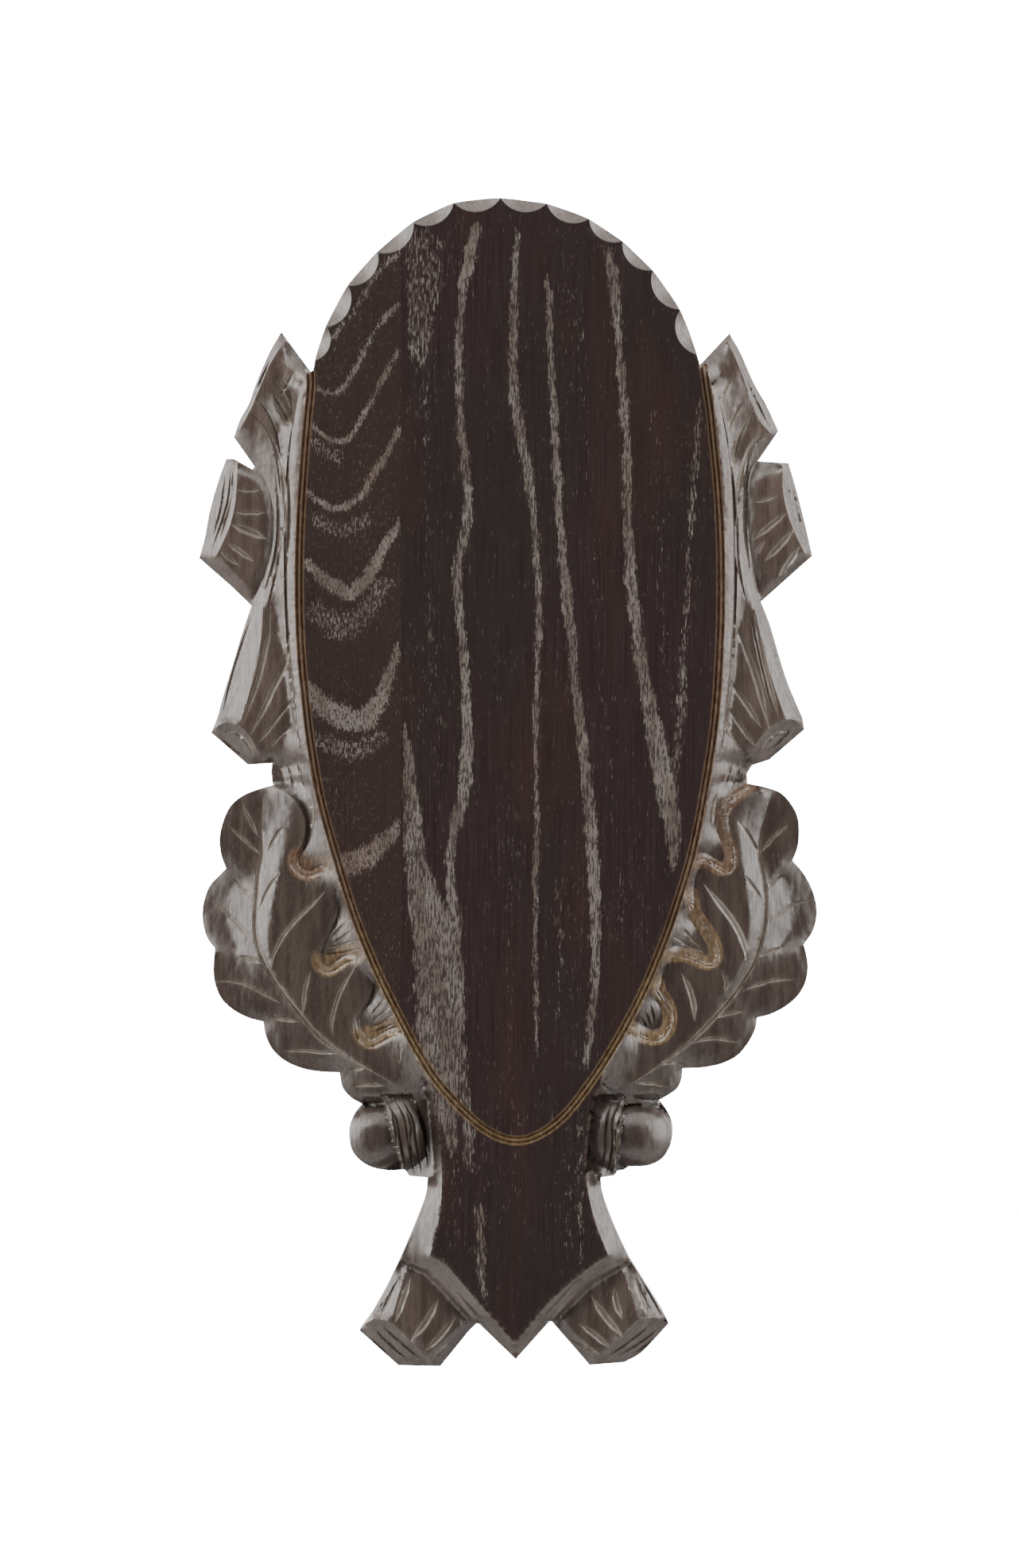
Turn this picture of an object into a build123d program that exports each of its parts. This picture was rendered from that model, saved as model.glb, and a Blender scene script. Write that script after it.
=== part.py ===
from build123d import *
from math import sqrt
import os

# Carved wooden trophy plaque: a flat, egg-shaped field with a gouged crown, framed by a double V line,
# with branch stubs, oak leaves and acorns carved in relief at its sides and a pointed tail with two stubs.
# The blank is two boards of ash, edge-glued, and a keyhole plate is let in flush in the back.
#
# Frame: X to the right, Z up, the back lies on y = 0 and the carving faces -Y. Origin at the back's middle.

os.makedirs("parts", exist_ok=True)

# ---- driving dimensions (mm) ----
THICKNESS = 20.0          # back to flat field
GROUND = 11.0             # height of the cut-away ground round the leaves
GLUE_X = -22.95           # glue line between the two boards
LINE_WIDTH = 1.0          # each of the two V cuts that frame the field
LINE_DEPTH = 0.8
LINE_PITCH = 1.05         # between the two V cuts
SCALLOP_RADIUS = 7.0      # gouge that shaped the crown
SCALLOP_DROP = 5.0        # how far the gouge cuts fall at the outline

HANGER_Z = 84.0           # centre of the keyhole plate
HANGER_WIDTH = 42.0
HANGER_HEIGHT = 16.0
HANGER_THICK = 2.0
KEYHOLE_R = 4.75          # entry hole for the nail or screw head
KEYSLOT_R = 2.3           # slot for its shank
KEYSLOT_RISE = 6.5
POCKET_DEPTH = 9.0        # room behind the plate for the head
POCKET_WIDTH = 13.0
POCKET_HEIGHT = 13.5
SCREW_X = 15.5
SCREW_R = 1.5
SCREW_HEAD_R = 3.0
SCREW_LENGTH = 12.0

# Silhouette of the carved blank, clockwise from the left end of the crown: (X, Z) in mm.
OUTLINE = [
    ("curve", [(-41.6, 88.4), (-41.1, 91.3), (-39.8, 95.7), (-37.1, 101.8), (-33.8, 107.1), (-29.8, 111.9),
        (-23.3, 117.8), (-18.2, 121.2), (-11.7, 123.9), (-5.4, 125.0), (-0.3, 125.0), (2.9, 124.7), (9.0,
        123.6), (15.8, 121.2), (23.5, 116.5), (30.1, 110.3), (35.0, 103.9), (37.9, 98.4), (39.8, 93.2),
        (40.8, 89.4)]),
    ("line", [(40.8, 89.4), (47.3, 96.4)]),
    ("curve", [(47.3, 96.4), (49.5, 92.7), (52.4, 86.2), (55.4, 80.6), (57.8, 75.5)]),
    ("line", [(57.8, 75.5), (53.4, 69.0), (56.4, 68.8), (60.0, 68.7)]),
    ("curve", [(60.0, 68.7), (61.9, 62.2), (63.6, 55.4), (65.1, 48.8)]),
    ("line", [(65.1, 48.8), (54.1, 38.9)]),
    ("curve", [(54.1, 38.9), (55.9, 34.2), (57.8, 27.9), (59.7, 21.9), (61.7, 17.0), (63.1, 13.9)]),
    ("line", [(63.1, 13.9), (63.4, 11.6), (55.9, 5.1), (52.2, 3.9), (51.0, 2.0), (51.2, 0.0)]),
    ("curve", [(51.2, 0.0), (55.2, -0.8), (58.3, -2.0), (60.5, -4.4), (61.9, -7.1), (62.2, -10.5), (61.9,
        -13.8), (60.9, -16.5)]),
    ("curve", [(60.9, -16.5), (63.1, -19.0), (64.8, -21.9), (65.8, -24.8), (66.1, -27.9), (65.3, -31.6),
        (63.2, -34.5)]),
    ("curve", [(63.2, -34.5), (63.9, -37.2), (64.1, -40.0), (63.4, -43.0), (61.7, -45.7), (59.0, -47.9),
        (55.9, -49.5), (53.2, -50.1)]),
    ("curve", [(53.2, -50.1), (52.9, -52.4), (51.7, -54.9), (49.3, -58.0), (46.4, -59.7), (42.5, -60.7),
        (37.2, -61.0)]),
    ("curve", [(37.2, -61.0), (37.1, -63.1), (36.2, -65.1), (34.5, -66.5), (32.1, -67.8)]),
    ("curve", [(32.1, -67.8), (33.7, -69.7), (34.9, -71.9), (35.2, -74.6), (34.5, -77.9), (32.8, -80.4),
        (30.1, -81.8), (25.7, -82.1)]),
    ("line", [(25.7, -82.1), (24.8, -82.8), (23.5, -83.0), (22.6, -84.0), (19.7, -84.3)]),
    ("curve", [(19.7, -84.3), (19.9, -86.5), (20.6, -89.2), (21.9, -93.0), (23.8, -97.4), (25.8, -101.7)]),
    ("line", [(25.8, -101.7), (32.6, -112.5), (34.3, -115.8)]),
    ("curve", [(34.3, -115.8), (31.1, -119.3), (28.2, -122.2), (24.8, -124.1)]),
    ("line", [(24.8, -124.1), (17.3, -124.6), (9.0, -114.9), (1.5, -123.1), (-6.6, -115.4), (-8.5, -117.3),
        (-14.6, -125.0), (-23.6, -124.8), (-32.0, -117.3), (-29.2, -113.6), (-26.2, -108.1), (-23.1,
        -101.7)]),
    ("curve", [(-23.1, -101.7), (-21.4, -97.8), (-19.6, -93.2), (-18.2, -89.6), (-17.5, -86.9), (-17.3,
        -84.3)]),
    ("line", [(-17.3, -84.3), (-21.2, -84.2), (-22.3, -82.8)]),
    ("curve", [(-22.3, -82.8), (-25.5, -83.0), (-28.6, -82.5), (-31.3, -81.1), (-33.3, -78.9), (-34.0,
        -76.5), (-34.0, -73.3), (-33.0, -70.7), (-31.3, -68.7)]),
    ("curve", [(-31.3, -68.7), (-33.8, -67.2), (-35.5, -65.1), (-36.2, -61.9)]),
    ("curve", [(-36.2, -61.9), (-40.1, -61.7), (-44.0, -61.0), (-47.9, -59.3), (-50.7, -56.8), (-52.0,
        -53.9), (-52.5, -51.0)]),
    ("curve", [(-52.5, -51.0), (-55.8, -50.1), (-59.0, -48.5), (-61.4, -46.2), (-62.7, -43.4), (-63.2,
        -40.1), (-62.9, -35.4)]),
    ("curve", [(-62.9, -35.4), (-64.6, -33.1), (-65.6, -29.4), (-65.5, -25.7), (-64.1, -21.9), (-62.2,
        -19.9), (-60.5, -18.2)]),
    ("curve", [(-60.5, -18.2), (-61.5, -15.3), (-61.9, -11.9), (-61.2, -8.3), (-59.5, -4.8), (-57.1, -2.7),
        (-54.1, -1.4), (-50.5, -0.3)]),
    ("line", [(-50.5, -0.3), (-50.8, 2.4), (-50.7, 4.4), (-55.9, 4.1), (-63.8, 10.9)]),
    ("curve", [(-63.8, 10.9), (-62.4, 14.3), (-61.4, 18.0), (-59.8, 23.1), (-58.5, 27.5), (-57.1, 32.1),
        (-55.1, 38.1)]),
    ("line", [(-55.1, 38.1), (-59.5, 42.3), (-66.3, 48.3)]),
    ("curve", [(-66.3, 48.3), (-65.1, 52.7), (-64.1, 58.1), (-62.4, 64.3), (-60.5, 69.5)]),
    ("line", [(-60.5, 69.5), (-58.8, 69.5), (-54.9, 67.3), (-54.4, 67.8), (-58.8, 74.1)]),
    ("curve", [(-58.8, 74.1), (-57.6, 77.7), (-55.6, 81.4), (-54.4, 84.8), (-52.4, 89.8), (-50.7, 93.3),
        (-48.6, 96.7)]),
    ("line", [(-48.6, 96.7), (-42.2, 87.9), (-41.6, 88.4)]),
]

# Inner edge of the double line that frames the flat field, from the right end of the crown round to the left.
FIELD_EDGE = [(40.6, 89.1), (41.1, 86.0), (42.2, 79.2), (42.8, 72.4), (43.5, 65.6), (44.0, 58.8), (44.4, 50.3), (44.5,
    41.8), (44.3, 31.6), (44.0, 24.8), (43.5, 18.0), (42.8, 11.2), (42.0, 5.3), (41.1, 0.2), (39.6, -8.3),
    (37.9, -16.0), (35.9, -22.8), (33.7, -29.6), (31.1, -36.4), (28.2, -43.2), (24.8, -50.0), (20.7, -57.1),
    (16.1, -64.1), (11.2, -70.2), (7.0, -73.6), (2.9, -75.2), (-0.7, -74.9), (-4.2, -73.2), (-7.7, -70.5),
    (-11.1, -67.1), (-15.0, -62.5), (-18.5, -56.8), (-22.1, -50.1), (-25.5, -43.4), (-28.6, -36.4), (-31.4,
    -29.6), (-33.7, -22.8), (-35.7, -16.0), (-37.7, -9.2), (-39.4, -2.4), (-40.6, 4.4), (-41.6, 11.2), (-42.4,
    18.0), (-43.1, 24.8), (-43.6, 33.3), (-43.8, 41.8), (-43.7, 50.3), (-43.4, 58.8), (-42.9, 65.6), (-42.4,
    72.4), (-41.8, 79.2), (-41.3, 84.7), (-41.4, 88.1)]

# The flat field below the crown: outside of the double line, then the tail's flat.
FIELD_SIDES = [(43.0, 86.0), (44.0, 79.2), (44.8, 72.4), (45.5, 65.6), (45.9, 58.8), (46.2, 50.3), (46.2, 41.8), (46.1,
    31.6), (45.8, 24.8), (45.4, 18.0), (44.7, 11.2), (43.9, 5.3), (43.0, 0.2), (41.5, -8.3), (39.8, -16.0),
    (37.7, -22.8), (35.5, -29.6), (33.1, -36.4), (30.2, -43.2), (26.9, -50.0), (22.8, -57.1), (20.4, -61.0),
    (19.4, -66.1), (18.0, -71.2), (17.0, -77.2), (16.7, -82.3), (17.5, -89.1), (19.0, -95.0), (21.8, -100.8),
    (16.1, -104.9), (8.5, -111.2), (1.7, -120.5), (-6.8, -111.2), (-14.8, -102.2), (-17.7, -100.8), (-16.7,
    -96.7), (-15.5, -92.5), (-14.6, -87.4), (-14.4, -82.3), (-14.8, -77.2), (-15.6, -70.4), (-16.5, -66.1),
    (-18.2, -61.0), (-20.4, -56.8), (-24.0, -50.1), (-27.4, -43.4), (-30.6, -36.4), (-33.3, -29.6), (-35.5,
    -22.8), (-37.6, -16.0), (-39.5, -9.2), (-41.3, -2.4), (-42.6, 4.4), (-43.5, 11.2), (-44.3, 18.0), (-45.0,
    24.8), (-45.5, 33.3), (-45.6, 41.8), (-45.6, 50.3), (-45.2, 58.8), (-44.8, 65.6), (-44.3, 72.4), (-43.7,
    79.2), (-43.2, 84.3)]

# Cusps between the gouge cuts along the crown.
CROWN_CUSPS = [(-41.3, 90.3), (-38.8, 97.4), (-34.2, 106.2), (-27.9, 113.3), (-20.2, 119.6), (-11.7, 124.0), (-1.7, 125.0),
    (8.2, 123.8), (17.2, 120.5), (24.3, 115.8), (30.8, 109.6), (36.5, 101.2), (40.3, 91.5)]

# Tail: outline at the foot of its bevel and outline of the flat on top.
TAIL_LOW = [(20.4, -61.0), (19.0, -67.8), (19.4, -74.6), (19.7, -84.3), (20.6, -89.2), (21.9, -93.0), (23.8, -97.4),
    (25.8, -101.7), (22.1, -103.7), (16.1, -107.3), (9.0, -114.9), (1.5, -123.1), (-6.6, -115.4), (-13.3,
    -108.1), (-17.0, -104.4), (-23.1, -101.7), (-21.4, -97.8), (-19.6, -93.2), (-18.2, -89.6), (-17.5, -86.9),
    (-17.3, -84.3), (-17.7, -75.5), (-18.7, -67.8), (-18.5, -61.0)]
TAIL_HIGH = [(20.1, -61.0), (18.4, -67.8), (17.5, -74.6), (16.7, -83.1), (17.5, -89.2), (18.5, -93.0), (19.9, -97.4),
    (21.8, -100.8), (19.9, -102.2), (15.5, -105.4), (8.5, -111.3), (1.7, -120.5), (-6.6, -111.3), (-12.4,
    -104.9), (-14.8, -102.2), (-17.7, -100.8), (-16.8, -97.4), (-15.8, -93.7), (-14.8, -89.6), (-14.4, -85.7),
    (-14.4, -82.3), (-14.8, -75.5), (-16.0, -68.7), (-17.9, -61.0)]

# Hollowed strips between the field and the branches: low edge and high edge.
COVE_LEFT_LOW = [(-45.7, 87.7), (-46.2, 84.3), (-46.9, 79.2), (-47.4, 72.4), (-47.9, 65.6), (-48.3, 58.8), (-48.5, 50.3),
    (-48.5, 41.8), (-48.2, 33.3), (-47.6, 24.8), (-46.9, 18.0), (-46.2, 11.2), (-45.4, 4.4), (-44.4, -2.4),
    (-42.8, -10.0), (-41.1, -16.8)]
COVE_LEFT_HIGH = [(-42.2, 87.7), (-42.8, 84.3), (-43.4, 79.2), (-43.9, 72.4), (-44.4, 65.6), (-44.9, 58.8), (-45.2, 50.3),
    (-45.2, 41.8), (-45.0, 33.3), (-44.5, 24.8), (-43.9, 18.0), (-43.2, 11.2), (-42.2, 4.4), (-40.8, -2.4),
    (-39.1, -10.0), (-37.2, -16.8)]
COVE_RIGHT_LOW = [(45.0, 87.7), (45.6, 84.3), (46.4, 79.2), (47.3, 72.4), (47.9, 65.6), (48.5, 58.8), (48.8, 50.3), (49.0,
    41.8), (48.8, 33.3), (48.5, 24.8), (47.9, 18.0), (47.3, 11.2), (46.4, 4.4), (45.2, -2.4), (43.7, -9.2),
    (42.3, -16.0)]
COVE_RIGHT_HIGH = [(42.0, 87.7), (42.7, 84.3), (43.5, 79.2), (44.4, 72.4), (45.0, 65.6), (45.6, 58.8), (45.7, 50.3), (45.9,
    41.8), (45.7, 33.3), (45.4, 24.8), (44.9, 18.0), (44.2, 11.2), (43.4, 4.4), (42.3, -2.4), (40.8, -9.2),
    (39.4, -16.0)]

# Branches: name, height of the top, outline at the ground, outline of the top.
BRANCHES = [
    ("left_fork_upper", 17.0, [(-48.6, 96.7), (-58.8, 74.1), (-54.1, 67.7), (-49.3, 65.6), (-44.5, 72.4),
        (-42.3, 87.7)],
        [(-47.9, 94.9), (-57.6, 75.8), (-53.7, 69.0), (-49.3, 67.3), (-45.7, 73.1), (-43.5, 86.4)]),
    ("left_fork_middle", 17.0, [(-60.5, 69.5), (-66.3, 48.3), (-55.1, 38.1), (-49.3, 41.8), (-48.3, 58.8),
        (-54.1, 67.7), (-58.8, 69.5)],
        [(-58.3, 68.7), (-62.9, 47.9), (-54.7, 39.3), (-50.1, 42.7), (-49.3, 58.8), (-54.1, 66.6), (-57.1,
        68.3)]),
    ("left_fork_lower", 17.0, [(-55.1, 38.1), (-63.8, 10.9), (-55.9, 4.1), (-50.1, 3.6), (-45.0, 9.5),
        (-46.2, 31.6)],
        [(-53.9, 37.7), (-61.7, 12.8), (-55.1, 7.0), (-50.1, 6.1), (-46.4, 11.2), (-47.3, 31.6)]),
    ("left_stem", 18.0, [(-53.7, 73.8), (-50.1, 75.8), (-45.6, 73.1), (-46.2, 58.8), (-46.6, 48.6), (-45.9,
        33.3), (-44.9, 21.4), (-43.7, 9.5), (-42.8, -2.4), (-50.3, -0.3), (-51.0, 6.1), (-51.0, 21.4),
        (-51.0, 31.6), (-52.0, 40.1), (-50.0, 48.6), (-50.0, 58.8), (-51.3, 66.3)],
        [(-52.4, 73.1), (-50.0, 74.5), (-46.9, 72.4), (-47.3, 58.8), (-47.6, 48.6), (-46.9, 33.3), (-46.2,
        21.4), (-45.0, 9.5), (-44.2, -0.7), (-49.3, 0.2), (-49.6, 6.1), (-49.6, 21.4), (-49.8, 31.6),
        (-50.7, 40.1), (-48.8, 48.6), (-48.8, 58.8), (-50.3, 66.0)]),
    ("right_fork_upper", 17.0, [(47.3, 96.4), (57.8, 75.5), (53.4, 69.0), (48.5, 64.9), (44.4, 72.4), (41.6,
        88.6)],
        [(46.6, 94.9), (56.1, 75.5), (52.7, 70.4), (48.5, 66.6), (45.4, 73.1), (42.8, 87.0)]),
    ("right_fork_middle", 17.0, [(60.0, 68.7), (65.1, 48.8), (54.1, 38.9), (49.6, 41.5), (47.9, 57.1),
        (50.3, 65.6), (53.4, 69.4)],
        [(58.6, 67.7), (61.9, 49.6), (53.7, 40.3), (50.7, 42.5), (49.0, 57.1), (51.3, 64.9), (54.1, 67.8)]),
    ("right_fork_lower", 17.0, [(54.1, 38.9), (63.1, 13.9), (63.4, 11.6), (55.9, 5.1), (51.9, 4.4), (45.6,
        9.5), (45.6, 31.6), (49.6, 38.8)],
        [(53.0, 37.6), (61.2, 14.1), (60.9, 13.3), (54.7, 8.2), (52.0, 7.0), (46.9, 10.4), (46.9, 31.6),
        (50.5, 37.4)]),
    ("right_stem", 18.0, [(45.6, 73.1), (48.6, 67.3), (50.7, 62.2), (50.3, 50.3), (51.3, 41.0), (52.0,
        31.6), (52.7, 18.0), (52.2, 7.8), (52.2, 3.9), (51.0, 0.2), (43.7, -3.2), (45.0, 6.1), (46.6, 18.0),
        (47.3, 31.6), (47.4, 48.6), (46.6, 62.2)],
        [(46.6, 71.4), (48.6, 65.6), (49.5, 61.5), (49.1, 50.3), (50.1, 41.0), (50.7, 31.6), (51.0, 18.0),
        (50.8, 7.8), (50.7, 3.9), (49.6, 1.0), (45.2, -0.7), (46.4, 6.1), (47.9, 18.0), (48.6, 31.6), (48.6,
        48.6), (47.8, 62.2)]),
]

# Leaf bodies and the lobes that slope to the outside.
LEAVES = [
    ("left_leaf_body", 17.5, [(-50.5, -0.3), (-45.6, -3.4), (-42.5, -7.5), (-42.8, -14.3), (-45.6, -17.7),
        (-40.8, -18.2), (-36.7, -22.4), (-37.1, -28.7), (-40.1, -37.1), (-34.7, -37.1), (-30.3, -40.1),
        (-28.9, -44.2), (-31.3, -49.6), (-28.9, -54.4), (-22.9, -52.7), (-19.0, -58.5), (-16.1, -62.2),
        (-19.4, -67.7), (-31.3, -68.7), (-35.7, -65.3), (-40.8, -55.1), (-49.3, -46.9), (-54.1, -38.1),
        (-54.7, -22.8), (-53.4, -10.9), (-53.7, -1.4)],
        [(-50.1, -1.7), (-46.6, -4.1), (-43.9, -7.5), (-44.2, -12.9), (-46.9, -16.7), (-42.2, -19.4),
        (-38.2, -23.1), (-38.6, -28.2), (-41.8, -36.4), (-35.7, -38.4), (-31.8, -41.1), (-30.4, -44.2),
        (-32.8, -49.6), (-30.3, -55.4), (-23.8, -54.1), (-20.4, -58.8), (-18.0, -61.9), (-20.4, -66.3),
        (-30.3, -67.3), (-34.3, -64.3), (-39.1, -54.7), (-47.6, -46.2), (-52.4, -37.7), (-53.0, -22.8),
        (-51.7, -11.2), (-52.0, -2.4)]),
    ("left_leaf_outer_upper", 14.5, [(-50.5, -0.3), (-57.1, -2.7), (-59.5, -4.8), (-61.5, -9.2), (-61.7,
        -12.6), (-60.5, -18.2), (-57.8, -21.1), (-52.7, -27.9), (-52.0, -10.9)],
        [(-51.0, -1.0), (-56.4, -3.7), (-58.3, -5.8), (-60.2, -9.5), (-60.4, -12.2), (-59.5, -17.0), (-57.0,
        -19.4), (-53.0, -25.5), (-52.0, -10.9)]),
    ("left_leaf_outer_middle", 14.5, [(-60.5, -18.2), (-64.1, -21.9), (-65.5, -25.7), (-65.3, -30.4),
        (-62.9, -35.4), (-57.8, -38.9), (-51.7, -43.2), (-52.7, -27.9), (-55.1, -21.4)],
        [(-60.0, -19.2), (-62.9, -22.4), (-64.1, -25.8), (-63.9, -29.9), (-61.7, -34.3), (-57.1, -37.4),
        (-52.0, -40.8), (-52.7, -27.9), (-55.4, -22.4)]),
    ("left_leaf_outer_lower", 14.5, [(-62.9, -35.4), (-63.2, -41.1), (-61.4, -46.2), (-57.8, -49.1), (-52.5,
        -51.0), (-45.6, -51.7), (-50.1, -43.2), (-56.1, -37.4)],
        [(-61.7, -36.2), (-61.9, -40.8), (-60.2, -45.2), (-57.1, -47.8), (-52.4, -49.6), (-47.3, -50.3),
        (-50.7, -43.2), (-55.8, -38.4)]),
    ("left_leaf_outer_tip", 14.5, [(-52.5, -51.0), (-50.7, -56.8), (-45.9, -60.7), (-40.1, -61.7), (-36.2,
        -61.9), (-32.3, -62.2), (-40.8, -55.1), (-47.3, -49.3)],
        [(-51.3, -51.3), (-49.6, -55.9), (-45.4, -59.3), (-40.0, -60.4), (-36.0, -60.5), (-33.7, -60.9),
        (-40.8, -55.4), (-46.6, -50.3)]),
    ("right_leaf_body", 17.5, [(51.2, 0.0), (47.6, -3.4), (45.9, -8.3), (47.1, -12.9), (48.3, -16.8), (46.8,
        -18.7), (43.0, -17.3), (40.1, -17.3), (38.8, -21.4), (38.8, -24.5), (39.8, -28.7), (43.5, -34.7),
        (43.9, -37.4), (40.8, -37.7), (35.7, -36.4), (32.6, -38.4), (31.4, -42.5), (33.7, -48.3), (33.3,
        -52.7), (29.8, -54.4), (24.6, -53.4), (21.2, -58.8), (19.0, -63.6), (20.7, -67.7), (32.1, -67.8),
        (34.5, -66.5), (44.2, -53.4), (52.7, -42.3), (55.8, -30.4), (55.4, -21.1), (54.4, -12.6), (57.8,
        -3.1), (54.4, -0.7)],
        [(51.2, -1.7), (49.1, -4.1), (47.4, -8.3), (48.6, -12.9), (49.8, -17.3), (47.3, -20.4), (43.2,
        -19.0), (41.5, -18.7), (40.5, -21.8), (40.5, -24.5), (41.5, -28.2), (45.2, -34.3), (45.6, -38.8),
        (41.1, -39.3), (36.0, -38.1), (34.2, -39.3), (33.1, -42.7), (35.4, -48.3), (34.7, -53.7), (29.9,
        -55.9), (25.5, -55.1), (22.8, -59.3), (20.7, -63.6), (22.1, -66.3), (31.6, -66.5), (33.7, -65.3),
        (42.8, -52.4), (51.0, -41.5), (54.1, -30.3), (53.9, -21.1), (52.9, -12.6), (55.8, -3.7), (53.4,
        -1.9)]),
    ("right_leaf_outer_upper", 14.5, [(51.2, 0.0), (58.3, -2.0), (61.9, -7.1), (62.2, -11.9), (60.9, -16.5),
        (58.6, -20.1), (54.7, -24.1), (53.7, -12.6)],
        [(51.7, -1.0), (57.6, -3.1), (60.5, -7.7), (60.9, -11.6), (59.7, -15.6), (57.6, -18.7), (54.7,
        -21.8), (53.9, -12.6)]),
    ("right_leaf_outer_middle", 14.5, [(60.9, -16.5), (64.8, -21.9), (66.1, -27.9), (65.3, -31.6), (63.2,
        -34.5), (58.6, -37.2), (53.0, -38.4), (55.4, -29.6), (56.4, -21.4)],
        [(60.2, -17.7), (63.4, -22.4), (64.8, -27.9), (63.9, -30.9), (62.0, -33.5), (58.1, -35.9), (53.7,
        -36.7), (55.4, -29.6), (56.1, -22.8)]),
    ("right_leaf_outer_lower", 14.5, [(63.2, -34.5), (64.1, -40.0), (61.7, -45.7), (55.9, -49.5), (53.2,
        -50.1), (49.3, -50.5), (43.4, -50.8), (50.1, -42.5), (54.4, -38.1)],
        [(62.0, -35.5), (62.7, -40.0), (60.7, -44.7), (55.4, -48.1), (52.9, -48.8), (49.3, -49.1), (44.7,
        -50.0), (50.3, -42.8), (54.7, -38.8)]),
    ("right_leaf_outer_tip", 14.5, [(53.2, -50.1), (51.7, -54.9), (46.4, -59.7), (37.2, -61.0), (31.4,
        -61.2), (37.4, -55.4), (43.5, -50.3)],
        [(52.0, -50.7), (50.7, -54.1), (45.7, -58.3), (37.2, -59.7), (33.7, -59.8), (37.7, -55.8), (43.9,
        -51.0)]),
]

# Cut stubs at the foot and the acorn cups.
STUBS = [
    ("left_foot_stub", 16.5, [(-23.1, -101.7), (-32.0, -117.3), (-23.6, -124.8), (-14.6, -125.0), (-8.5,
        -117.3), (-6.6, -115.4), (-11.9, -109.5), (-17.0, -104.0)],
        [(-22.1, -102.7), (-29.6, -114.6), (-23.6, -119.7), (-17.9, -120.5), (-11.1, -113.7), (-8.8,
        -112.9), (-11.9, -109.8), (-17.0, -104.7)]),
    ("right_foot_stub", 16.5, [(25.8, -101.7), (34.3, -115.8), (24.8, -124.1), (17.3, -124.6), (9.0,
        -114.9), (13.6, -109.5), (20.4, -104.4)],
        [(24.6, -102.7), (31.6, -114.6), (25.8, -118.0), (19.9, -119.7), (11.2, -113.7), (13.9, -109.8),
        (20.4, -105.1)]),
    ("left_cup", 18.0, [(-27.7, -69.0), (-24.1, -83.0), (-21.2, -84.2), (-17.0, -84.3), (-15.6, -77.2),
        (-18.0, -67.3), (-22.1, -67.2)],
        [(-26.0, -69.4), (-23.1, -82.3), (-21.1, -83.1), (-18.4, -83.3), (-17.0, -77.2), (-19.0, -68.3),
        (-21.8, -68.3)]),
    ("right_cup", 18.0, [(27.7, -68.5), (25.5, -75.5), (26.4, -82.6), (23.5, -83.0), (19.7, -84.3), (18.4,
        -77.2), (19.7, -67.7)],
        [(26.4, -69.0), (24.5, -75.5), (24.8, -81.6), (23.1, -82.1), (20.7, -83.0), (19.6, -77.2), (20.7,
        -68.7)]),
]

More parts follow.
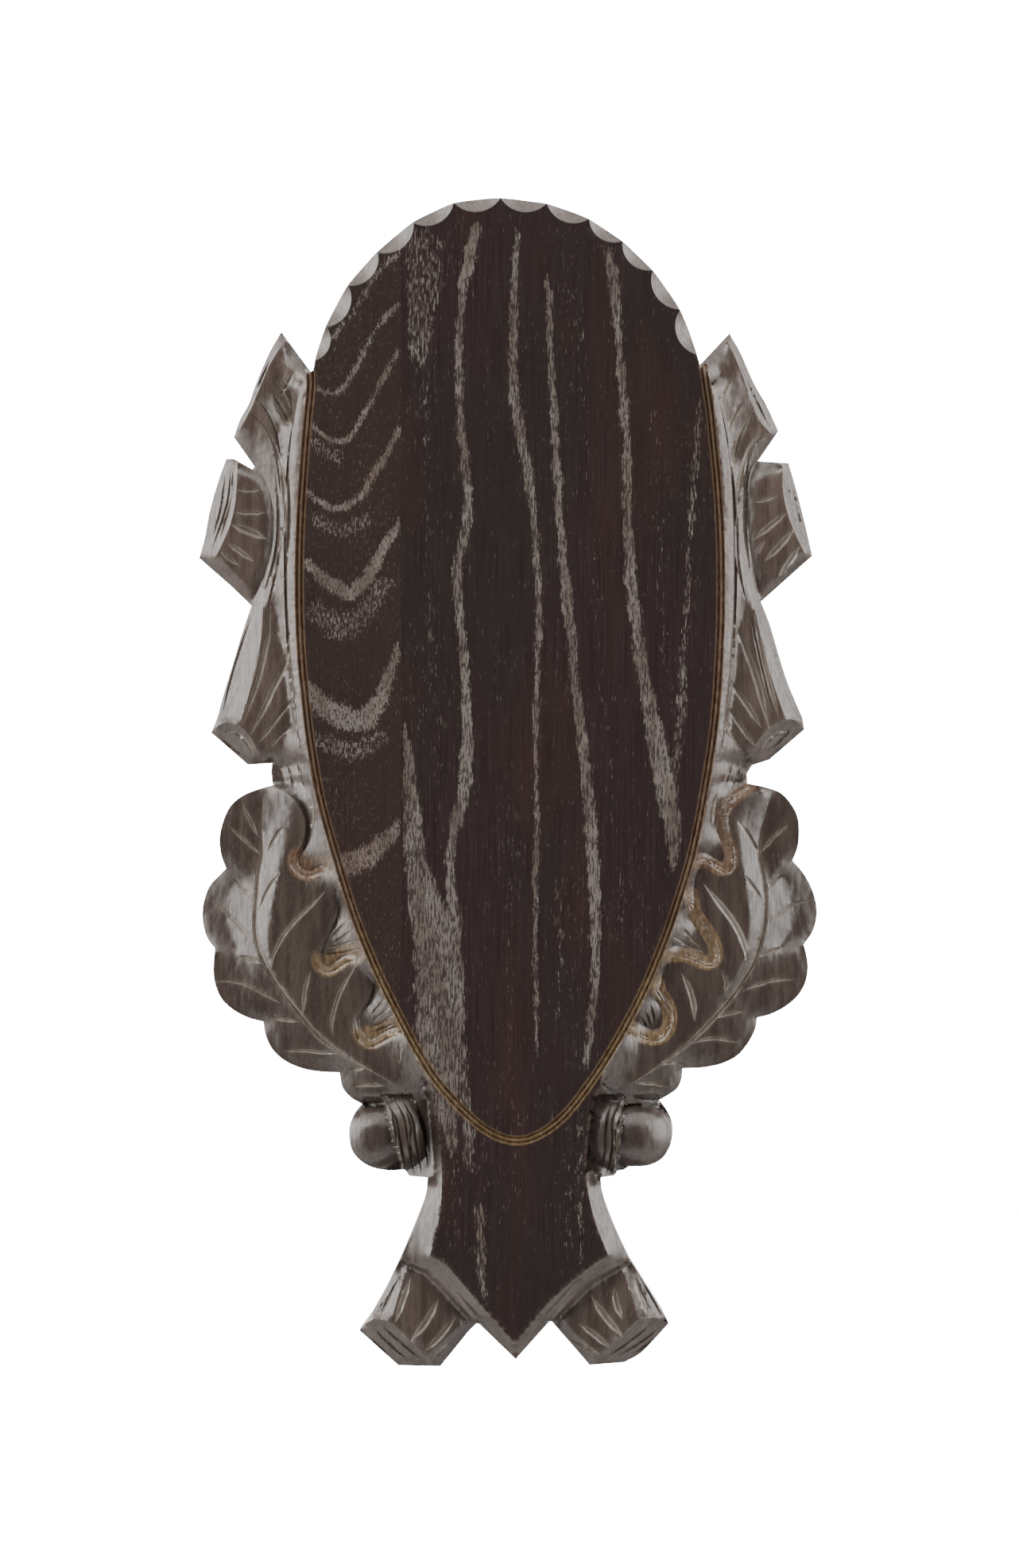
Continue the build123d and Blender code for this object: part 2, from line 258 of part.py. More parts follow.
# V tool cuts: width in mm and centre line.
CUTS = [
    (2.0, [(-52.7, -4.1), (-53.0, -10.9), (-53.0, -17.7), (-53.9, -22.8), (-54.2, -29.6), (-53.5, -35.5),
        (-50.1, -41.8), (-44.2, -50.0), (-37.4, -56.8), (-30.9, -60.5), (-25.5, -63.6)]),
    (1.3, [(-59.8, -9.2), (-57.0, -11.7), (-52.9, -15.5)]),
    (1.3, [(-57.0, -4.4), (-55.6, -7.5), (-53.5, -11.7)]),
    (1.3, [(-58.6, -20.2), (-54.7, -25.2)]),
    (1.3, [(-64.1, -24.8), (-60.4, -27.9), (-58.3, -29.6), (-54.7, -34.3)]),
    (1.3, [(-58.1, -36.9), (-53.0, -38.2)]),
    (1.3, [(-62.6, -42.5), (-56.1, -43.2), (-49.3, -46.6)]),
    (1.3, [(-51.3, -50.1), (-44.5, -51.2)]),
    (1.3, [(-48.1, -57.3), (-37.1, -57.8)]),
    (1.3, [(-34.0, -64.8), (-26.9, -64.6)]),
    (1.3, [(-47.6, -8.8), (-49.3, -10.5), (-51.5, -14.6)]),
    (1.3, [(-48.8, -19.0), (-51.0, -21.9), (-53.2, -26.5)]),
    (1.6, [(-39.3, -23.1), (-45.0, -28.7), (-48.5, -33.0), (-50.8, -39.8)]),
    (1.3, [(-42.3, -40.1), (-43.7, -44.0), (-44.0, -49.1)]),
    (1.3, [(-33.0, -39.3), (-35.4, -43.2), (-37.6, -50.8), (-37.6, -54.2)]),
    (1.3, [(-33.1, -49.5), (-33.0, -52.5), (-32.0, -55.9)]),
    (1.3, [(-23.5, -55.1), (-23.5, -60.2)]),
    (2.0, [(55.9, -4.4), (53.9, -10.9), (53.7, -15.1), (55.1, -24.5), (53.9, -34.7), (50.1, -42.3), (44.2,
        -49.6), (37.4, -56.4), (27.7, -63.2)]),
    (1.3, [(59.8, -8.8), (57.0, -11.2), (53.9, -15.1)]),
    (1.3, [(58.6, -19.6), (55.2, -22.8)]),
    (1.3, [(64.6, -25.0), (61.2, -26.2), (55.8, -30.1)]),
    (1.3, [(58.3, -35.0), (53.0, -37.2)]),
    (1.3, [(61.2, -42.0), (57.0, -42.2), (50.1, -44.0)]),
    (1.3, [(50.3, -49.0), (44.2, -50.1)]),
    (1.3, [(49.0, -55.6), (41.6, -54.7), (39.1, -55.6)]),
    (1.3, [(37.7, -60.0), (32.3, -60.0)]),
    (1.3, [(34.3, -64.8), (27.2, -64.1)]),
    (1.3, [(49.3, -8.3), (51.0, -10.5), (53.5, -15.1)]),
    (1.3, [(50.1, -19.4), (51.9, -21.6), (54.4, -24.8)]),
    (1.8, [(41.8, -21.6), (47.6, -28.7), (50.7, -35.5), (51.0, -38.9)]),
    (1.3, [(45.6, -40.1), (46.6, -42.3), (46.2, -44.9)]),
    (1.6, [(36.9, -40.5), (38.6, -44.0), (39.6, -50.8)]),
    (1.6, [(-51.0, 38.1), (-51.7, 31.6), (-53.5, 23.1), (-57.0, 12.6)]),
    (1.6, [(-46.9, 32.0), (-47.6, 26.5), (-51.0, 19.7), (-55.1, 10.9)]),
    (1.6, [(-46.1, 18.0), (-49.3, 14.3), (-53.5, 8.8)]),
    (1.6, [(-59.5, 55.1), (-51.9, 52.4)]),
    (1.4, [(-57.8, 62.9), (-53.4, 62.9)]),
    (1.4, [(-60.2, 51.5), (-54.7, 47.8)]),
    (1.6, [(-53.9, 76.7), (-51.0, 73.6), (-49.3, 69.0), (-48.3, 64.8), (-47.9, 56.3)]),
    (1.6, [(-50.1, 82.6), (-46.6, 76.7)]),
    (1.6, [(48.3, 33.8), (51.0, 28.2), (53.5, 21.4), (55.2, 13.8)]),
    (1.6, [(47.6, 21.4), (51.0, 17.2), (54.4, 12.6)]),
    (1.6, [(47.1, 15.0), (50.1, 11.2), (52.7, 7.8)]),
    (1.6, [(47.6, 86.9), (45.9, 82.6)]),
    (1.6, [(50.1, 81.8), (47.3, 75.8)]),
    (1.8, [(51.9, 79.2), (48.5, 70.7), (47.6, 65.6)]),
    (1.8, [(53.5, 75.8), (50.7, 69.9), (48.6, 58.8)]),
    (1.4, [(52.7, 60.5), (57.0, 61.4)]),
    (1.4, [(53.0, 52.4), (59.2, 57.6)]),
    (1.4, [(57.0, 49.0), (60.5, 54.2)]),
    (1.6, [(-25.3, -108.6), (-27.5, -114.6)]),
    (1.6, [(-21.1, -105.7), (-22.9, -111.2), (-24.3, -115.4)]),
    (1.6, [(-15.5, -110.7), (-17.9, -115.4), (-20.6, -119.0)]),
    (1.6, [(-11.6, -114.1), (-15.3, -118.8), (-18.2, -121.5)]),
    (1.6, [(18.2, -110.2), (21.2, -114.6), (24.3, -118.2)]),
    (1.6, [(15.6, -115.9), (18.7, -118.0), (21.2, -120.7)]),
    (1.6, [(13.1, -118.7), (19.2, -122.2)]),
    (1.6, [(26.7, -105.6), (28.9, -109.5), (29.2, -113.4)]),
    (1.4, [(-24.3, -69.0), (-19.4, -83.0)]),
    (1.4, [(-22.4, -68.0), (-17.7, -81.9)]),
    (1.4, [(25.5, -69.0), (23.1, -82.3)]),
    (1.4, [(23.1, -68.7), (21.1, -83.0)]),
]

# ---- helpers ----
FRONT = Plane.XZ          # its normal is -Y, so heights above the back are positive


def level(points, height):
    """A closed wire of (X, Z) points at a height above the back."""
    return Polyline(*[(x, -height, z) for x, z in points], close=True)


def prism(points, low, high):
    return extrude(make_face(level(points, low)), amount=high - low, dir=(0, -1, 0))


def taper(low_points, low, high_points, high):
    """A ruled solid between two outlines with the same number of corners."""
    return Solid.make_loft([Wire(level(low_points, low).edges()), Wire(level(high_points, high).edges())], ruled=True)


def vee(points, width, depth, surface):
    """V cuts along straight runs, each run a triangular prism with pointed ends."""
    tools = []
    for (xa, za), (xb, zb) in zip(points, points[1:]):
        run = sqrt((xb - xa) ** 2 + (zb - za) ** 2)
        ux, uz = (xb - xa) / run, (zb - za) / run
        nx, nz = -uz, ux
        up = 0.6
        half = width / 2 * (depth + up) / depth
        reach = half * 0.55
        top = -(surface + up)
        low = -(surface - depth)
        a, b = Vector(xa, low, za), Vector(xb, low, zb)
        corners = [
            Vector(xa - ux * reach, top, za - uz * reach),
            Vector(xa + nx * half, top, za + nz * half),
            Vector(xb + nx * half, top, zb + nz * half),
            Vector(xb + ux * reach, top, zb + uz * reach),
            Vector(xb - nx * half, top, zb - nz * half),
            Vector(xa - nx * half, top, za - nz * half),
        ]
        t = corners
        faces = [
            t,
            [t[0], t[1], a], [t[1], t[2], b, a], [t[2], t[3], b],
            [t[3], t[4], b], [t[4], t[5], a, b], [t[5], t[0], a],
        ]
        shell = Shell([Face(Wire.make_polygon(f, close=True)) for f in faces])
        tools.append(Solid(shell))
    return tools


def strip(low, high, low_height, high_height):
    """A band whose top slopes from its low edge up to its high edge, built as one ruled solid per stretch."""
    pieces = []
    for (a, b), (c, d) in zip(zip(low, low[1:]), zip(high, high[1:])):
        base = GROUND - 1
        corners = [
            Vector(a[0], -low_height, a[1]), Vector(b[0], -low_height, b[1]),
            Vector(d[0], -high_height, d[1]), Vector(c[0], -high_height, c[1]),
        ]
        feet = [Vector(v.X, -base, v.Z) for v in corners]
        faces = [
            [corners[0], corners[1], corners[2]], [corners[0], corners[2], corners[3]],
            feet,
            [corners[0], corners[1], feet[1], feet[0]], [corners[1], corners[2], feet[2], feet[1]],
            [corners[2], corners[3], feet[3], feet[2]], [corners[3], corners[0], feet[0], feet[3]],
        ]
        pieces.append(Solid(Shell([Face(Wire.make_polygon(f, close=True)) for f in faces])))
    return pieces


# ---- blank: silhouette, cut-away ground, and everything left standing on it ----
segments = [
    Spline(*[(x, 0, z) for x, z in pts]) if kind == "curve" else Polyline(*[(x, 0, z) for x, z in pts])
    for kind, pts in OUTLINE
]
silhouette = make_face([e for s in segments for e in s.edges()])
blank = extrude(silhouette, amount=THICKNESS, dir=(0, -1, 0))
ground = Pos(0, -GROUND / 2, 0) * Box(160, GROUND, 280)

crown = OUTLINE[0][1]
reach_out = [(x * 1.03, z + (3.0 if z > 100 else 1.2)) for x, z in crown]
field = prism([(-42.4, 88.0)] + reach_out + [(42.4, 88.0)] + FIELD_SIDES, 0, THICKNESS)

standing = [field, taper(TAIL_LOW, GROUND - 1, TAIL_HIGH, THICKNESS)]
standing += strip(COVE_LEFT_LOW, COVE_LEFT_HIGH, 14.0, 19.0)
standing += strip(COVE_RIGHT_LOW, COVE_RIGHT_HIGH, 14.0, 19.0)
for _, height, low_line, high_line in BRANCHES + LEAVES + STUBS:
    standing.append(taper(low_line, GROUND - 1.5, high_line, height))


def nut(x, z, toward, length, radius, height):
    """Half an acorn: an ellipse turned about its axis, which lies level with the back."""
    profile = make_face([
        Edge.make_ellipse(length, radius, Plane.XY, 0, 180),
        Line((-length, 0), (length, 0)),
    ])
    turned = revolve(profile, Axis.X, 360)
    return Pos(x, -(height - radius), z) * Rot(0, -toward, 0) * turned


nut_left = nut(-25.5, -75.8, 194.0, 8.8, 7.1, 17.5)
nut_right = nut(26.0, -75.0, 2.0, 9.2, 7.0, 17.5)
standing += [nut_left, nut_right]

body = blank & (ground + standing)

# ---- gouged crown ----
scallops = []
TILT = 50.0
for (xa, za), (xb, zb) in zip(CROWN_CUSPS, CROWN_CUSPS[1:]):
    half = sqrt((xb - xa) ** 2 + (zb - za) ** 2) / 2
    along = Vector(xb - xa, 0, zb - za).normalized()
    outward = Vector(-along.Z, 0, along.X)
    sagitta = 0.52 * half
    depth = sagitta * 0.766
    radius = max((half ** 2 + depth ** 2) / (2 * depth), 4.0)
    apex = Vector((xa + xb) / 2, -THICKNESS, (za + zb) / 2) - outward * sagitta
    direction = outward * 0.643 + Vector(0, 1, 0) * 0.766
    lift = outward * 0.766 + Vector(0, -1, 0) * 0.643
    start = apex + lift * radius - direction * 6
    scallops.append(Plane(start, z_dir=direction) * Cylinder(radius, 30, align=(Align.CENTER, Align.CENTER, Align.MIN)))
body -= scallops


# ---- double V line round the field ----
def beside(points, distance):
    """The points moved to their left by a distance, across the line's local direction."""
    moved = []
    for i, (x, z) in enumerate(points):
        (xa, za), (xb, zb) = points[max(i - 1, 0)], points[min(i + 1, len(points) - 1)]
        run = sqrt((xb - xa) ** 2 + (zb - za) ** 2)
        moved.append((x - (zb - za) / run * distance, z + (xb - xa) / run * distance))
    return moved


for n in range(2):
    line = beside(FIELD_EDGE, LINE_WIDTH / 2 + n * LINE_PITCH)
    path = Spline(*[(x, -THICKNESS, z) for x, z in line])
    start, tangent = path @ 0, path % 0
    across = Vector(-tangent.Z, 0, tangent.X)
    up = 0.4
    spread = LINE_WIDTH / 2 * (LINE_DEPTH + up) / LINE_DEPTH
    corners = [
        start + across * spread + Vector(0, -up, 0),
        start - across * spread + Vector(0, -up, 0),
        start + Vector(0, LINE_DEPTH, 0),
    ]
    section = Face(Wire.make_polygon(corners, close=True))
    body -= sweep(section, path=path)

# ---- veins, bark and end cuts with the V tool ----
tools = []
for width, points in CUTS:
    for tool in vee(points, width, 0.75 * width, 16.9):
        tools.append(tool)
body -= tools

# ---- let-in for the keyhole plate, and the pocket behind it ----
plate_outline = SlotOverall(HANGER_WIDTH, HANGER_HEIGHT)
seat = extrude(Plane.XZ * Pos(0, HANGER_Z) * plate_outline, amount=HANGER_THICK)
pocket = extrude(
    Plane.XZ * Pos(0, HANGER_Z) * RectangleRounded(POCKET_WIDTH, POCKET_HEIGHT, 3.0), amount=POCKET_DEPTH
)
pilots = [Pos(s * SCREW_X, 0, HANGER_Z) * Rot(90, 0, 0) * Cylinder(SCREW_R, SCREW_LENGTH, align=(Align.CENTER, Align.CENTER, Align.MIN)) for s in (-1, 1)]
body -= [seat, pocket] + pilots

# The outline runs inside the glue line below the left acorn, so the left board's foot is an island
# that only the glue holds, and it is a piece of its own.
left_side = split(body, bisect_by=Plane.YZ.offset(GLUE_X), keep=Keep.BOTTOM).solids().sort_by(Axis.Z)
boards = {
    "left_board": left_side[-1],
    "left_board_foot": left_side[0],
    "right_board": split(body, bisect_by=Plane.YZ.offset(GLUE_X), keep=Keep.TOP),
}

# ---- keyhole plate ----
plate = extrude(Plane.XZ * Pos(0, HANGER_Z) * plate_outline, amount=HANGER_THICK)
keyhole = Pos(0, HANGER_Z - 2.6) * Circle(KEYHOLE_R) + Pos(0, HANGER_Z - 2.6 + KEYSLOT_RISE / 2) * Rectangle(
    2 * KEYSLOT_R, KEYSLOT_RISE
) + Pos(0, HANGER_Z - 2.6 + KEYSLOT_RISE) * Circle(KEYSLOT_R)
plate -= extrude(Plane.XZ * keyhole, amount=HANGER_THICK)
HEAD_DEPTH = SCREW_HEAD_R - SCREW_R
screws = {}
for name, s in (("hanger_screw_left", -1), ("hanger_screw_right", 1)):
    here = Pos(s * SCREW_X, 0, HANGER_Z) * Rot(90, 0, 0)
    low = (Align.CENTER, Align.CENTER, Align.MIN)
    head = Cone(SCREW_HEAD_R, SCREW_R, HEAD_DEPTH, align=low)
    plate -= here * (head + Cylinder(SCREW_R, HANGER_THICK + 1, align=low))
    shank = Cylinder(SCREW_R, SCREW_LENGTH - 2.5, align=low)
    tip = Pos(0, 0, SCREW_LENGTH - 2.5) * Cone(SCREW_R, 0.2, 2.5, align=low)
    screw = head + shank + tip
    screw -= Box(2.9, 0.7, 2.0, align=(Align.CENTER, Align.CENTER, Align.CENTER))
    screw -= Box(0.7, 2.9, 2.0, align=(Align.CENTER, Align.CENTER, Align.CENTER))
    screws[name] = here * screw

nodes = dict(boards)
nodes["keyhole_hanger"] = plate
nodes.update(screws)
for name, shape in nodes.items():
    solids = shape.solids()
    keep = [s for s in solids if s.volume > 1.0]
    print(name, len(solids), "solids", round(sum(s.volume for s in keep)), "mm3", [s.is_valid for s in keep])
    export_step(keep[0] if len(keep) == 1 else Compound(children=keep), "parts/%s.step" % name)
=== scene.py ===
import math
import bpy
import numpy as np
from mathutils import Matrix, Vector
from mathutils.geometry import delaunay_2d_cdt


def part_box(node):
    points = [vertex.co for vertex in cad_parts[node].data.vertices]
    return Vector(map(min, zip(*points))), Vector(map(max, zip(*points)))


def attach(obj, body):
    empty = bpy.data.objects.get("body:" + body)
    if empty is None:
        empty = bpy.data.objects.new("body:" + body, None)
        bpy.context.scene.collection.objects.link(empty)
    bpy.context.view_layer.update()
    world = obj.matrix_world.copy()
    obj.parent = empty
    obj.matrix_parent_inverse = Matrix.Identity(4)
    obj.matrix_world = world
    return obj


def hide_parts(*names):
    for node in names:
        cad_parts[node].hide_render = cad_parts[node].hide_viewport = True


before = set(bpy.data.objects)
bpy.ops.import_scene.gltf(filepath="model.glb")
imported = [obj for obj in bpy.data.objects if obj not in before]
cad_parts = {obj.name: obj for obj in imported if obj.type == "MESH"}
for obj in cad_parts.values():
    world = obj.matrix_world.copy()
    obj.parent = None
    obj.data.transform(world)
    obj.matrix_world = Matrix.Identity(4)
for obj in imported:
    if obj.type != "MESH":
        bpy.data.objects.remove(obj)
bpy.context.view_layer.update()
THICKNESS = -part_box("right_board")[0][1] * 1000.0  # the flat field's height over the back, mm
GLUE_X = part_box("left_board")[1][0] * 1000.0
GRID = 0.5

# ------------------------------------------------------------------ the carving's lines, mm
# Silhouette, clockwise from the left end of the crown: curve or line, then (x, z, height over the back), mm.
OUTLINE = [
    ("C", [(-41.65, 88.4, 20), (-41.14, 91.29, 20), (-39.78, 95.71, 20), (-37.06, 101.83, 20), (-33.83, 107.1, 20),
     (-29.75, 111.86, 20), (-23.29, 117.81, 20), (-18.19, 121.21, 20), (-11.73, 123.93, 20), (-5.44, 124.95, 20),
     (-0.34, 124.95, 20), (2.89, 124.7, 20), (9.01, 123.59, 20), (15.81, 121.21, 20), (23.46, 116.45, 20), (30.09,
     110.33, 20), (35.02, 103.87, 20), (37.91, 98.43, 20), (39.78, 93.16, 20), (40.8, 89.42, 20)]),
    ("L", [(40.8, 89.42, 17.8), (47.26, 96.39, 13.2)]),
    ("C", [(47.26, 96.39, 14.4), (49.47, 92.65, 14), (52.36, 86.19, 13.8), (55.42, 80.58, 13.8), (57.8, 75.48,
     13.6)]),
    ("L", [(57.8, 75.48, 13.6), (53.38, 69.02, 14.4), (56.44, 68.85, 13.6), (60.01, 68.68, 12.6)]),
    ("C", [(60.01, 68.68, 12.4), (61.88, 62.22, 12.4), (63.58, 55.42, 12.4), (65.11, 48.79, 12.6)]),
    ("L", [(65.11, 48.79, 12.6), (54.06, 38.93, 13.8)]),
    ("C", [(54.06, 38.93, 13.8), (55.93, 34.17, 13.2), (57.8, 27.88, 13), (59.67, 21.93, 12.8), (61.71, 17, 12.6),
     (63.07, 13.94, 12)]),
    ("L", [(63.07, 13.94, 11.5), (63.41, 11.56, 11), (55.93, 5.1, 11), (52.19, 3.91, 13), (51, 2.04, 13.6), (51.17, 0,
     13.6)]),
    ("C", [(51.17, 0, 13.6), (55.25, -0.85, 13.8), (58.31, -2.04, 14), (60.52, -4.42, 14), (61.88, -7.14, 13.9),
     (62.22, -10.54, 13.8), (61.88, -13.77, 13.4), (60.86, -16.49, 12.9)]),
    ("C", [(60.86, -16.49, 12.4), (63.07, -19.04, 11.3), (64.77, -21.93, 10.5), (65.79, -24.82, 10.2), (66.13, -27.88,
     10.3), (65.28, -31.62, 11.1), (63.24, -34.51, 12.4)]),
    ("C", [(63.24, -34.51, 13), (63.92, -37.23, 13.2), (64.09, -39.95, 13.4), (63.41, -43.01, 13.5), (61.71, -45.73,
     13.6), (58.99, -47.94, 13.6), (55.93, -49.47, 13.6), (53.21, -50.15, 13.8)]),
    ("C", [(53.21, -50.15, 13.8), (52.87, -52.36, 14), (51.68, -54.91, 14.1), (49.3, -57.97, 14.2), (46.41, -59.67,
     14.2), (42.5, -60.69, 14.2), (37.23, -61.03, 14.3)]),
    ("C", [(37.23, -61.03, 14.3), (37.06, -63.07, 14.3), (36.21, -65.11, 14.3), (34.51, -66.47, 14.4), (32.13, -67.83,
     14.4)]),
    ("C", [(32.13, -67.83, 10), (33.66, -69.7, 10), (34.85, -71.91, 10), (35.19, -74.63, 10), (34.51, -77.86, 10),
     (32.81, -80.41, 10), (30.09, -81.77, 10), (25.67, -82.11, 11)]),
    ("L", [(25.67, -82.11, 11), (24.82, -82.79, 12), (23.46, -82.96, 12), (22.61, -83.98, 13), (19.72, -84.32, 15)]),
    ("C", [(19.72, -84.32, 17), (19.89, -86.53, 17.3), (20.57, -89.25, 17.3), (21.93, -92.99, 17.3), (23.8, -97.41,
     17.3), (25.84, -101.66, 16.5)]),
    ("L", [(25.84, -101.66, 14.5), (32.64, -112.54, 14), (34.34, -115.77, 13)]),
    ("C", [(34.34, -115.77, 11.5), (31.11, -119.34, 11.2), (28.22, -122.23, 11.2), (24.82, -124.1, 11.5)]),
    ("L", [(24.82, -124.1, 11.5), (17.34, -124.61, 12.5), (9.01, -114.92, 14.2), (1.53, -123.08, 17.2), (-6.63,
     -115.43, 14.2), (-8.5, -117.3, 13), (-14.62, -124.95, 11.5), (-23.63, -124.78, 11.2), (-31.96, -117.3, 11.5),
     (-29.24, -113.56, 13), (-26.18, -108.12, 13.8), (-23.12, -101.66, 14.5)]),
    ("C", [(-23.12, -101.66, 16.5), (-21.42, -97.75, 17.3), (-19.55, -93.16, 17.3), (-18.19, -89.59, 17.3), (-17.51,
     -86.87, 17.3), (-17.34, -84.32, 15)]),
    ("L", [(-17.34, -84.32, 15), (-21.25, -84.15, 12), (-22.27, -82.79, 11)]),
    ("C", [(-22.27, -82.79, 11), (-25.5, -82.96, 10), (-28.56, -82.45, 10), (-31.28, -81.09, 10), (-33.32, -78.88,
     10), (-34, -76.5, 10), (-34, -73.27, 10), (-32.98, -70.72, 10), (-31.28, -68.68, 10)]),
    ("C", [(-31.28, -68.68, 14.4), (-33.83, -67.15, 14.3), (-35.53, -65.11, 14.2), (-36.21, -61.88, 14.2)]),
    ("C", [(-36.21, -61.88, 14.2), (-40.12, -61.71, 14.2), (-44.03, -61.03, 14.2), (-47.94, -59.33, 14.1), (-50.66,
     -56.78, 14.1), (-52.02, -53.89, 14), (-52.53, -51, 13.8)]),
    ("C", [(-52.53, -51, 13.8), (-55.76, -50.15, 13.6), (-58.99, -48.45, 13.6), (-61.37, -46.24, 13.5), (-62.73,
     -43.35, 13.4), (-63.24, -40.12, 13.2), (-62.9, -35.36, 13)]),
    ("C", [(-62.9, -35.36, 12.4), (-64.6, -33.15, 11.1), (-65.62, -29.41, 10.3), (-65.45, -25.67, 10.2), (-64.09,
     -21.93, 10.5), (-62.22, -19.89, 11.3), (-60.52, -18.19, 12.4)]),
    ("C", [(-60.52, -18.19, 12.9), (-61.54, -15.3, 13.4), (-61.88, -11.9, 13.8), (-61.2, -8.33, 13.9), (-59.5, -4.76,
     14), (-57.12, -2.72, 14), (-54.06, -1.36, 13.9), (-50.49, -0.34, 13.9)]),
    ("L", [(-50.49, -0.34, 13.8), (-50.83, 2.38, 13.6), (-50.66, 4.42, 13.2), (-55.93, 4.08, 12), (-63.75, 10.88,
     11.5)]),
    ("C", [(-63.75, 10.88, 11.8), (-62.39, 14.28, 12.6), (-61.37, 18.02, 12.8), (-59.84, 23.12, 12.9), (-58.48, 27.54,
     13), (-57.12, 32.13, 13.2), (-55.08, 38.08, 14)]),
    ("L", [(-55.08, 38.08, 14), (-59.5, 42.33, 13), (-66.3, 48.28, 12.4)]),
    ("C", [(-66.3, 48.28, 12.6), (-65.11, 52.7, 12.4), (-64.09, 58.14, 12.4), (-62.39, 64.26, 12.6), (-60.52, 69.53,
     12.8)]),
    ("L", [(-60.52, 69.53, 13), (-58.82, 69.53, 13.4), (-54.91, 67.32, 14.2), (-54.4, 67.83, 14.4), (-58.82, 74.12,
     13.6)]),
    ("C", [(-58.82, 74.12, 13.6), (-57.63, 77.69, 13.8), (-55.59, 81.43, 13.8), (-54.4, 84.83, 14), (-52.36, 89.76,
     14.1), (-50.66, 93.33, 14.2), (-48.62, 96.73, 14.5)]),
    ("L", [(-48.62, 96.73, 13.2), (-42.16, 87.89, 16), (-41.65, 88.4, 17.8)]),
]
